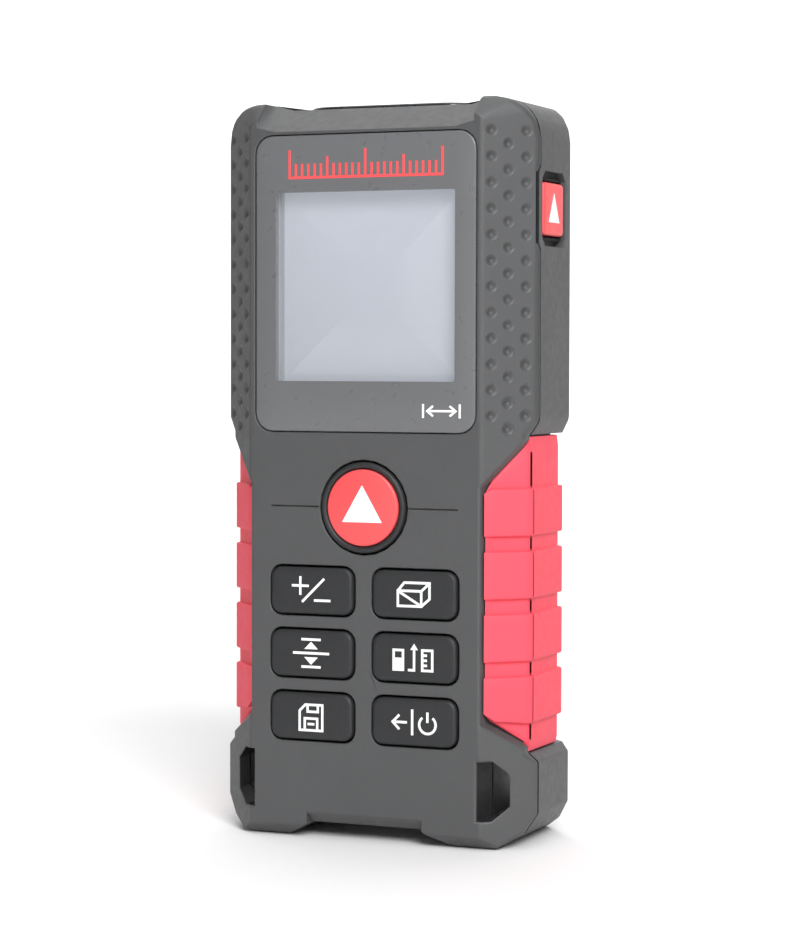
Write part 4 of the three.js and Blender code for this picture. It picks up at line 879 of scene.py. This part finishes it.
def grip_piece(name, sign, front):
    """The skin over the ribs and the skin inside it, on one grid of heights by points round the section."""
    low, high = span(name)
    near, far = low[1] - FRONT - (not front) * GRIP_REACH, high[1] - FRONT + front * GRIP_REACH
    raised, sunk, inner = (grip_path(drop, near, far, front) for drop in (0.0, RIB_RISE, GRIP_WALL))
    share = np.clip((GRIP_SIDE - raised[:, 0]) / (GRIP_SIDE - GRIP_EDGE_X), 0, 1) * front
    bottom = low[2] + share * GRIP_FOOT
    top = high[2] - share * GRIP_HEAD
    table = rib_stations()
    before = np.linspace(0, 0.9, 5)[:, None]
    first, last = table[0, 0], table[-1, 0]
    foot = bottom[None, :] + before * (np.maximum(first, bottom + 0.2) - bottom)[None, :]
    head = top[None, :] - before[::-1] * (top - np.minimum(last, top - 0.05))[None, :]
    body = np.clip(table[:, :1], bottom + 0.22, top - 0.06) + np.linspace(0, 0.01, len(table))[:, None]
    z = np.vstack([foot, body, head])
    out = np.concatenate([np.zeros(len(foot)), table[:, 1], np.zeros(len(head))])[:, None, None]
    section = sunk[None] + out * (raised - sunk)[None]
    end = np.minimum(z - z[0], z[-1] - z)
    tuck = GRIP_TUCK * np.clip(1 - end / TUCK_HEIGHT, 0, 1) ** 2
    x = section[..., 0] - tuck * TUCK_SHARE
    depth = section[..., 1] + tuck * TUCK_SHARE * (1 if front else -1)
    outer = np.stack([sign * x, FRONT + depth, z], axis=2)
    within = np.broadcast_to(inner[None], section.shape)
    inside = np.stack([sign * within[..., 0], FRONT + within[..., 1], z], axis=2)
    return slab(outer, inside)


class METER_OT_grips(bpy.types.Operator):
    """Four red side grips with ribs"""

    bl_idname = "meter.grips"
    bl_label = "Grips"

    def execute(self, context):
        for sign, side in SIDES:
            for front in (True, False):
                name = f"{'front' if front else 'rear'}_grip_{side}"
                piece(name + "_skin", [grip_piece(name, sign, front)], "grip_rubber", "body", [name], 50)
        return {"FINISHED"}


# ------------------------------------------------------------------ display
PLATE_REACH = 0.14  # the printed plate comes this much nearer to its pocket than the CAD plate
PLATE_SUNK = 0.05  # its printed face lies this much behind the CAD plate's
VIEW_BORDER = 1.8  # width of the LCD's edge that the print covers
GRADUATIONS, GRADUATION_PITCH, GRADUATION_START = 25, 1.1, -13.0
MARK_LEFT, MARK_RIGHT, MARK_DROP = 10.2, 16.4, 4.6  # the length mark, and how far it is below the LCD


def outline_frame(outer, opening, levels, lip):
    """A plate with an opening: loops from its outer edge over the front to the opening and behind.

    outer and opening are each (centre, size, corner radius); levels are those of the front and the back.
    """
    (x, z), (width, height), radius = outer
    (ox, oz), (ow, oh), corner = opening
    front, back = levels
    big = rounded_loop(width, height, radius, 10)
    small = rounded_loop(ow, oh, corner, 10)

    def ring(loop, centre, inset, level):
        scale = 1 - 2 * inset / np.ptp(loop, axis=0)
        flat = loop * scale + np.array(centre)
        return np.column_stack([flat[:, 0], np.full(len(flat), level), flat[:, 1]])

    bend = rounding(lip, front, -1)
    loops = [ring(big, (x, z), 0, back)]
    loops += [ring(big, (x, z), inset, level) for inset, level in bend]
    loops += [ring(small, (ox, oz), 0, front), ring(small, (ox, oz), 0, back)]
    return hoop(np.stack(loops))


class METER_OT_display(bpy.types.Operator):
    """Display window with its printed border, the clear pane, the panel behind it and its frame"""

    bl_idname = "meter.display"
    bl_label = "Display"

    def execute(self, context):
        low, high, centre, size = face_of("display_window")
        panel_low, panel_high, view_centre, panel_size = face_of("lcd_panel")
        view_size = panel_size - 2 * VIEW_BORDER
        level = low[1] + PLATE_SUNK
        outer, opening = (centre, size + 2 * PLATE_REACH, 2.9), (view_centre, view_size, 0.35)
        plate = outline_frame(outer, opening, (level, high[1]), 0.25)
        piece("display_window_print", [plate], "display_window", replaced=["display_window"])
        steps = [(0.02, high[1] - 0.1), (0.02, low[1] + 0.12), (0.06, low[1] + 0.08)]
        pane = pad(*view_size, 0.4, steps, at=view_centre)
        piece("display_window_pane", [pane], "display_window", look="clear_pane")
        self.legend(panel_low[2] + VIEW_BORDER, panel_high[2] - VIEW_BORDER, level)
        self.inside()
        return {"FINISHED"}

    def legend(self, bottom, top, level):
        """A strip of graduations above the display and a small pictogram of a measured length below it."""
        left, width, base = GRADUATION_START, 0.42, top + 2.3
        right = left + GRADUATION_PITCH * (GRADUATIONS - 1)
        red = [("line", [(left - width / 2, base), (right + width / 2, base)])]
        for k in range(GRADUATIONS):
            x = left + GRADUATION_PITCH * k
            tall = 4.4 if k % 12 == 0 else 3.3 if k % 6 == 0 else 2.2
            red.append(("line", [(x, base), (x, base + tall)]))
        marks = printed(red, width, (0, 0), level)
        piece("display_graduations", marks, "display_window", look="red_plastic")
        x0, x1, z = MARK_LEFT, MARK_RIGHT, bottom - MARK_DROP
        white = [
            ("line", [(x0, z - 1.1), (x0, z + 1.1)]),
            ("line", [(x1, z - 1.1), (x1, z + 1.1)]),
            ("line", [(x0 + 0.7, z), (x1 - 0.7, z)]),
            ("line", [(x0 + 1.7, z + 0.8), (x0 + 0.7, z), (x0 + 1.7, z - 0.8)]),
            ("line", [(x1 - 1.7, z + 0.8), (x1 - 0.7, z), (x1 - 1.7, z - 0.8)]),
        ]
        marks = printed(white, 0.34, (0, 0), level)
        piece("display_length_mark", marks, "display_window", look="printed_mark")

    def inside(self):
        """The panel and the tray round it, seen through the pane."""
        low, high, centre, size = face_of("lcd_panel")
        steps = [(0, high[1])] + rounding(0.12, low[1], -1, 3)
        panel = pad(*size, 0.3, steps, at=centre)
        piece("lcd_panel_glass", [panel], "lcd_glass", replaced=["lcd_panel"])
        outer, opening = (centre, size - 0.1, 0.4), (centre, size - 3.0, 0.3)
        mat = outline_frame(outer, opening, (FRONT + 1.9, low[1] - 0.05), 0.1)
        piece("lcd_surround", [mat], "light_guide", look="lcd_tray")


# ------------------------------------------------------------------ keys
def key_legends():
    """The printed marks of each function key, in millimetres from the key's middle."""
    highest = [
        ("line", [(-1.7, 2.3), (1.7, 2.3)]),
        ("fill", [(-1.2, 0.75), (1.2, 0.75), (0, 1.95)]),
    ]
    lowest = [
        ("line", [(-1.7, -2.1), (1.7, -2.1)]),
        ("fill", [(-1.2, -0.55), (1.2, -0.55), (0, -1.75)]),
    ]
    box = [
        ("loop", [(-2.7, -1.8), (1.3, -1.8), (1.3, 0.6), (-2.7, 0.6)]),
        ("line", [(-2.7, 0.6), (-1.6, 1.9), (2.7, 1.9), (2.7, -0.6), (1.3, -1.8)]),
        ("line", [(1.3, 0.6), (2.7, 1.9)]),
        ("line", [(-2.6, 0.5), (1.2, -1.7)]),
    ]
    card = [
        ("loop", [(-2.0, -2.2), (2.0, -2.2), (2.0, 1.9), (-1.0, 1.9), (-2.0, 0.9)]),
        ("line", [(-1.1, -2.1), (-1.1, -0.3), (1.1, -0.3), (1.1, -2.1)]),
        ("line", [(-0.6, 1.8), (-0.6, 0.8), (1.2, 0.8), (1.2, 1.8)]),
        ("line", [(-0.6, -1.2), (0.6, -1.2)]),
    ]
    device = [
        ("loop", [(-3.4, -1.8), (-1.8, -1.8), (-1.8, 1.3), (-3.4, 1.3)]),
        ("fill", [(-3.3, -1.7), (-1.9, -1.7), (-1.9, 0.1), (-3.3, 0.1)]),
        ("line", [(-0.95, -1.8), (0.1, -1.8), (0.1, 1.7)]),
        ("fill", [(-0.55, 1.4), (0.75, 1.4), (0.1, 2.4)]),
    ]
    ruler = [("loop", [(1.5, -1.8), (3.2, -1.8), (3.2, 1.4), (1.5, 1.4)])]
    ruler += [("line", [(1.6, z), (2.3, z)]) for z in (-1.0, -0.2, 0.6)]
    power = [
        ("line", arc(1.4, 128, 412, 26, (2.4, -0.25))),
        ("line", [(2.4, 0.1), (2.4, 1.75)]),
    ]
    back = [
        ("line", [(-3.5, 0), (-1.1, 0)]),
        ("line", [(-2.4, 1.15), (-3.55, 0), (-2.4, -1.15)]),
    ]
    return {
        "plus_minus": [
            ("line", [(-3.4, 0.8), (-0.4, 0.8)]),
            ("line", [(-1.9, -0.7), (-1.9, 2.3)]),
            ("line", [(-1.6, -1.8), (2.3, 2.0)]),
            ("line", [(0.5, -1.5), (3.4, -1.5)]),
        ],
        "max_min": highest + lowest + [("line", [(-3.2, 0.1), (3.2, 0.1)])],
        "memory": card,
        "area_volume": box,
        "reference_unit": device + ruler,
        "clear_power": back + [("line", [(-0.2, -2.0), (-0.2, 2.1)])] + power,
    }


class METER_OT_function_keys(bpy.types.Operator):
    """Six function keys with soft edges and printed marks"""

    bl_idname = "meter.function_keys"
    bl_label = "Function keys"

    def execute(self, context):
        s = sizes()
        legends = key_legends()
        for name in KEY_NAMES:
            node = name + "_key"
            low, high, centre, size = face_of(node)
            top = low[1] + 0.02
            steps = [(0, high[1])] + rounding(s["key_edge"], top + 0.02, -1, 6) + [(1.4, top)]
            piece(node + "_cap", [pad(*size, 1.7, steps, at=centre)], "key_rubber", node, [node], 60)
            marks = printed(legends[name], s["legend"], centre, top)
            piece(name + "_legend", marks, "key_rubber", node, look="printed_mark")
        return {"FINISHED"}


def triangle(base_width, base, apex, radius=0.1):
    """An upright triangle with softened corners: each corner is cut by a short quadratic curve."""
    corners = [(-base_width / 2, base), (base_width / 2, base), (0, apex)]
    looped = np.array([corners[-1], *corners, corners[0]])
    return rounded_path(looped, (radius,) * 3, 5)[1:-1]


class METER_OT_measure_key(bpy.types.Operator):
    """Round measure key: dark ring, red cap and white triangle"""

    bl_idname = "meter.measure_key"
    bl_label = "Measure key"

    def execute(self, context):
        low, high, centre, _ = face_of("measure_key")
        cap_low, cap_high = span("measure_key_cap")
        outer = (high[0] - low[0]) / 2
        inner = (cap_high[0] - cap_low[0]) / 2
        floor = cap_high[1] + 0.3
        ring = [
            (AXIS_GAP, high[1]), (outer - 0.05, high[1]), (outer, high[1] - 0.1), (outer, low[1] + 0.45),
            (outer - 0.12, low[1] + 0.18), (outer - 0.38, low[1] + 0.03), (outer - 0.6, low[1] + 0.05),
            (inner + 0.22, low[1] + 0.22), (inner + 0.14, low[1] + 0.4), (inner + 0.14, floor),
            (AXIS_GAP, floor),
        ]
        skin = lathe(ring, centre, sides=96)
        piece("measure_key_ring", [skin], "key_rubber", "measure_key", ["measure_key"], 45)
        face = cap_low[1] + 0.05
        cap = [
            (AXIS_GAP, cap_high[1]), (inner, cap_high[1]), (inner, cap_low[1] + 0.35),
            (inner - 0.1, cap_low[1] + 0.14), (inner - 0.35, face), (AXIS_GAP, face),
        ]
        skin = lathe(cap, centre, sides=96)
        piece("measure_key_disc", [skin], "red_plastic", "measure_key", ["measure_key_cap"], 45)
        mark = printed([("fill", triangle(6.9, -2.3, 3.6))], 0, centre, face)
        piece("measure_key_triangle", mark, "red_plastic", "measure_key", look="printed_mark")
        return {"FINISHED"}


class METER_OT_side_key(bpy.types.Operator):
    """Side key with its white triangle"""

    bl_idname = "meter.side_key"
    bl_label = "Side key"

    def execute(self, context):
        low, high, centre, size = face_of("side_key", (1, 2))
        top = high[0] - 0.04
        steps = [(0, low[0])] + rounding(0.4, top, 1, 6) + [(1.2, top)]
        cap = pad(*size, 0.8, steps, axis="X", at=centre)
        piece("side_key_cap", [cap], "red_plastic", "side_key", ["side_key"], 60)
        (points, faces), = printed([("fill", triangle(4.9, -2.1, 2.6))], 0, (0, 0), 0)
        sideways = np.column_stack([top - points[:, 1], points[:, 0] + centre[0], points[:, 2] + centre[1]])
        piece("side_key_triangle", [(sideways, faces)], "red_plastic", "side_key", look="printed_mark")
        return {"FINISHED"}


# ------------------------------------------------------------------ optics
class METER_OT_optics(bpy.types.Operator):
    """Top bezel, the two windows in it and a hood ring round each"""

    bl_idname = "meter.optics"
    bl_label = "Optics"

    def execute(self, context):
        bezel = softened("optics_bezel", lambda face: face.normal.z < -0.3, two_weights(0.5, 0.2), 0.5)
        weighted(link("optics_bezel_cover", bezel, "bezel_plastic", replaced=["optics_bezel"]))
        for name in ("receiver", "emitter"):
            low, high, centre, size = face_of(name + "_window", (0, 1))
            radius, bevel, top = size[0] / 2, 0.15, HEIGHT - 0.42
            disc = [
                (AXIS_GAP, low[2]), (radius, low[2]), (radius, high[2] - bevel),
                (radius - bevel, high[2]), (AXIS_GAP, high[2]),
            ]
            skin = lathe(disc, centre, axis="Z", sides=72)
            piece(name + "_window_disc", [skin], "optical_glass", "body", [name + "_window"], 40)
            ring = [
                (radius + 0.28, low[2]), (radius + 0.28, top), (radius + 0.12, top + 0.1),
                (radius - 0.1, top), (radius - 0.45, high[2] + 0.1), (radius - 0.45, high[2] + 0.02),
                (radius + 0.05, high[2] + 0.02), (radius + 0.05, low[2]),
            ]
            piece(name + "_hood", [collar(ring, centre, sides=72)], "bezel_plastic")
        return {"FINISHED"}


# ------------------------------------------------------------------ battery door, cells and label
class METER_OT_battery_door(bpy.types.Operator):
    """Battery door with rounded edges and a ribbed thumb latch"""

    bl_idname = "meter.battery_door"
    bl_label = "Battery door"

    def execute(self, context):
        name = "battery_door"
        door = softened(name, lambda face: face.normal.y < -0.3, two_weights(0.25, 0.12), 0.25)
        weighted(link(name + "_panel", door, "housing_plastic", name, [name]))
        first, pitch, count = span(name)[1][2] - 1.9, 0.95, 4
        steps = [(0, BACK - 0.75), (0, BACK - 0.3), (0.1, BACK - 0.16), (0.2, BACK - 0.12)]
        ridges = [pad(5.2, 0.5, 0.24, steps, at=(0, first - pitch * k), per_corner=4) for k in range(count)]
        piece(name + "_ridges", ridges, "housing_plastic", name, smooth=60)
        return {"FINISHED"}


class METER_OT_batteries(bpy.types.Operator):
    """Two cells with printed sleeves, and their springs"""

    bl_idname = "meter.batteries"
    bl_label = "Batteries"

    def execute(self, context):
        for _, side in SIDES:
            self.cell(side)
            self.spring(side)
        return {"FINISHED"}

    def cell(self, side):
        """A can turned from its outline, with rolled ends; the button is at the end where the CAD has it."""
        node = "battery_cell_" + side
        low, high, centre, size = face_of(node, (0, 1))
        radius = size[0] / 2
        base, tip, way = (low[2], high[2], 1) if side == "left" else (high[2], low[2], -1)
        sleeve = [
            (radius - 1.2, base + way * 0.35), (radius - 0.9, base + way * 0.02),
            (radius - 0.3, base + way * 0.1), (radius, base + way * 0.5),
            (radius, tip - way * 1.7), (radius - 0.3, tip - way * 1.2),
            (radius - 1.0, tip - way * 1.15), (radius - 1.3, tip - way * 1.4),
        ]
        core = [
            (AXIS_GAP, base + way * 0.1), (radius - 1.3, base + way * 0.1), (radius - 1.2, base + way * 0.4),
            (radius - 1.2, tip - way * 1.5), (2.2, tip - way * 1.4), (1.9, tip - way * 0.9),
            (1.9, tip - way * 0.2), (1.7, tip), (AXIS_GAP, tip),
        ]
        jacket = sleeve + [(radius - 1.3, tip - way * 2), (radius - 1.3, base + way * 0.6)]
        piece(node + "_sleeve", [collar(jacket, centre)], "battery_jacket", replaced=[node])
        piece(node + "_can", [lathe(core, centre, axis="Z")], "battery_jacket", look="steel")

    def spring(self, side):
        """A round wire carried along a helix whose radius shrinks evenly with height, flat at its base."""
        node = "battery_spring_" + side
        low, high = span(node)
        wire, turns, steps, sides = 0.33, 3.6, 150, 10
        wide, narrowing, flat, painted_light_rise = 3.35, 1.2, 0.12, 0.78
        centre = middle("battery_cell_" + side)[:2]
        t = np.linspace(0, 1, steps)
        angle = t * turns * 2 * math.pi
        radius = wide - narrowing * t
        rise = np.clip((t - flat) / painted_light_rise, 0, 1) * (high[2] - low[2] - 2 * wire)
        z = low[2] + wire + rise if side == "left" else high[2] - wire - rise
        path = np.stack([centre[0] + radius * np.cos(angle), centre[1] + radius * np.sin(angle), z], axis=1)
        ahead = np.gradient(path, axis=0)
        ahead /= np.linalg.norm(ahead, axis=1, keepdims=True)
        outward = np.stack([np.cos(angle), np.sin(angle), np.zeros(steps)], axis=1)
        upward = np.cross(ahead, outward)
        turn = (np.arange(sides) * 2 * math.pi / sides)[None, :, None]
        section = wire * (np.cos(turn) * outward[:, None] + np.sin(turn) * upward[:, None])
        piece(node + "_wire", [loft(path[:, None] + section)], "steel", "body", [node], 60)


class METER_OT_rear_label(bpy.types.Operator):
    """Blank label plate on the back, with a printed border"""

    bl_idname = "meter.rear_label"
    bl_label = "Rear label"

    def execute(self, context):
        low, high, centre, size = face_of("rear_label")
        top = high[1] - 0.05
        steps = [(0, low[1])] + rounding(0.1, top, 1, 4) + [(1.0, top)]
        piece("rear_label_plate", [pad(*size, 1.6, steps, at=centre)], "label_plate", replaced=["rear_label"])
        border = printed([("loop", rounded_loop(*(size - 2.4), 1.0))], 0.25, centre, top)
        piece("rear_label_border", border, "label_plate", look="printed_mark")
        return {"FINISHED"}


# ------------------------------------------------------------------ the pieces that keep their CAD shape
class METER_OT_inner_parts(bpy.types.Operator):
    """Finishes of the boards, switches, optics, screws and other inner pieces"""

    bl_idname = "meter.inner_parts"
    bl_label = "Inner parts"

    def execute(self, context):
        for row in frame["record"]["subparts"]:
            node = frame["nodes"][row["node"]]
            if not node.hide_render:
                node.data.materials.clear()
                node.data.materials.append(finish(row["material_slot"]))
        return {"FINISHED"}


# ------------------------------------------------------------------ stage, in metres
FLOOR_RADIUS, WALL_CURVE, WALL_TOP, FLOOR_SIDES = 1.4, 0.9, 2.2, 96
FLOOR_GAP = 0.0002  # the floor lies this much below the feet
CARD_WIDTH, CARD_HEIGHT, CARD_FOOT = 0.6, 0.5, 0.03
CARDS = (("left_card", (-0.26, -0.16)), ("right_card", (0.4, 0.14)))
AIM, WALL_AIM = (0.0, 0.0, 0.06), (-1.0, 2.0, 0.3)
LIGHTS = (  # name, place, size, watts, what it points at
    ("key_light", (0.75, -1.05, 0.9), 0.7, 25.0, AIM),
    ("fill_light", (-1.0, -0.8, 0.5), 1.0, 0.6, AIM),
    ("top_light", (0.0, 0.1, 1.4), 1.0, 5.0, AIM),
    ("rim_light", (0.9, 0.7, 0.6), 0.8, 0.4, AIM),
    ("backdrop_light", (-0.5, 0.9, 1.5), 1.4, 22.0, WALL_AIM),
)
SKY_STRENGTH = 0.45
CAMERA_ANGLES = (23.168, 2.231, 0.128)  # turn to the right, rise and roll, in degrees
CAMERA_PLACE = (0.17453, -0.4068, 0.07686)
CAMERA_LENS, CAMERA_SENSOR = 105.1, 36.0  # in millimetres


class METER_OT_stage(bpy.types.Operator):
    """Pale floor that curves up all round, soft lights and the camera"""

    bl_idname = "meter.stage"
    bl_label = "Stage"

    def execute(self, context):
        self.floor()
        self.lights(context.scene)
        self.camera(context.scene)
        self.cards()
        context.scene.view_settings.view_transform = "Standard"
        return {"FINISHED"}

    def cards(self):
        """Two dark cards out of the picture, which keep light off the left slant and the right side."""
        black = (0.02, 0.02, 0.02)
        n = Nodes("card", black, 0.9, specular=0.0)
        n.tint(black, n.noise(200, 2), 0.05)
        rise = Vector((0, 0, CARD_HEIGHT))
        for name, place in CARDS:
            facing = Vector((*place, 0)).normalized()
            across = Vector((-facing.y, facing.x, 0)) * CARD_WIDTH / 2
            foot = Vector((*place, CARD_FOOT))
            corners = [foot - across, foot + across, foot + across + rise, foot - across + rise]
            mesh = bpy.data.meshes.new(name)
            mesh.from_pydata([tuple(c) for c in corners], [], [(0, 1, 2, 3)])
            mesh.materials.append(n.material)
            card = placed(name, mesh)
            card.visible_camera = False

    def floor(self):
        """A flat disc that turns up into a wall along a quarter circle, all in one surface of revolution."""
        angle = np.linspace(0, math.pi / 2, 16)[1:]
        curve = FLOOR_RADIUS + WALL_CURVE * np.sin(angle)
        radius = np.concatenate([[0.1, 0.3, 0.8, FLOOR_RADIUS], curve, [FLOOR_RADIUS + WALL_CURVE]])
        level = np.concatenate([np.zeros(4), WALL_CURVE * (1 - np.cos(angle)), [WALL_TOP]]) - FLOOR_GAP
        loops = turned(np.column_stack([radius, level]), (0, 0), "Z", FLOOR_SIDES)
        rings = [face[::-1] for face in grid_faces(len(radius), FLOOR_SIDES, wrap=True)]
        mesh = bpy.data.meshes.new("floor")
        mesh.from_pydata(loops.reshape(-1, 3).tolist(), [], [list(range(FLOOR_SIDES)), *rings])
        mesh.shade_smooth()
        floor = placed("floor", mesh)
        pale = tuple(colours().floor)
        n = Nodes("floor", pale, 0.85, specular=0.1)
        n.tint(pale, n.noise(200, 2), 0.01)
        mesh.materials.append(n.material)

    def lights(self, scene):
        """A pale sky, four soft boxes round the object and one that lights the wall."""
        world = bpy.data.worlds.new("studio")
        world.use_nodes = True
        sky = world.node_tree.nodes["Background"]
        sky.inputs["Color"].default_value = (1, 1, 1, 1)
        sky.inputs["Strength"].default_value = SKY_STRENGTH
        scene.world = world
        for name, place, size, power, aim in LIGHTS:
            light = bpy.data.lights.new(name, "AREA")
            light.size = size
            light.energy = power
            lamp = placed(name, light)
            lamp.location = place
            lamp.rotation_euler = (Vector(aim) - Vector(place)).to_track_quat("-Z", "Y").to_euler()

    def camera(self, scene):
        """Looks from the right of the display and slightly down, at a long focal length."""
        turn, rise, roll = (math.radians(a) for a in CAMERA_ANGLES)
        back = Vector((math.sin(turn) * math.cos(rise), -math.cos(turn) * math.cos(rise), math.sin(rise)))
        right = Vector((math.cos(turn), math.sin(turn), 0))
        up = back.cross(right)
        level_right = right * math.cos(roll) + up * math.sin(roll)
        level_up = up * math.cos(roll) - right * math.sin(roll)
        data = bpy.data.cameras.new("camera")
        data.lens = CAMERA_LENS
        data.sensor_width = CAMERA_SENSOR
        camera = placed("camera", data)
        basis = Matrix((level_right, level_up, back)).transposed().to_4x4()
        camera.matrix_world = Matrix.Translation(CAMERA_PLACE) @ basis
        scene.camera = camera


# ------------------------------------------------------------------ add-on
OPERATORS = (
    METER_OT_stage, METER_OT_housings, METER_OT_grips, METER_OT_display, METER_OT_function_keys,
    METER_OT_measure_key, METER_OT_side_key, METER_OT_optics, METER_OT_battery_door,
    METER_OT_batteries, METER_OT_rear_label, METER_OT_inner_parts,
)


class METER_PT_looks(bpy.types.Panel):
    """The meter's sizes, colours and the steps that build it"""

    bl_idname = "METER_PT_looks"
    bl_label = "Distance meter"
    bl_space_type = "VIEW_3D"
    bl_region_type = "UI"
    bl_category = "Meter"

    def draw(self, context):
        for group in (context.scene.meter_sizes, context.scene.meter_colours):
            column = self.layout.column(align=True)
            for name in type(group).__annotations__:
                column.prop(group, name)
        for operator in OPERATORS:
            self.layout.operator(operator.bl_idname)


CLASSES = (MeterSizes, MeterColours, *OPERATORS, METER_PT_looks)


def register():
    for cls in CLASSES:
        bpy.utils.register_class(cls)
    bpy.types.Scene.meter_sizes = PointerProperty(type=MeterSizes)
    bpy.types.Scene.meter_colours = PointerProperty(type=MeterColours)


def unregister():
    del bpy.types.Scene.meter_colours
    del bpy.types.Scene.meter_sizes
    for cls in reversed(CLASSES):
        bpy.utils.unregister_class(cls)


def main():
    register()
    for operator in OPERATORS:
        group, name = operator.bl_idname.split(".")
        getattr(getattr(bpy.ops, group), name)()
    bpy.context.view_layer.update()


if __name__ == "__main__":
    main()
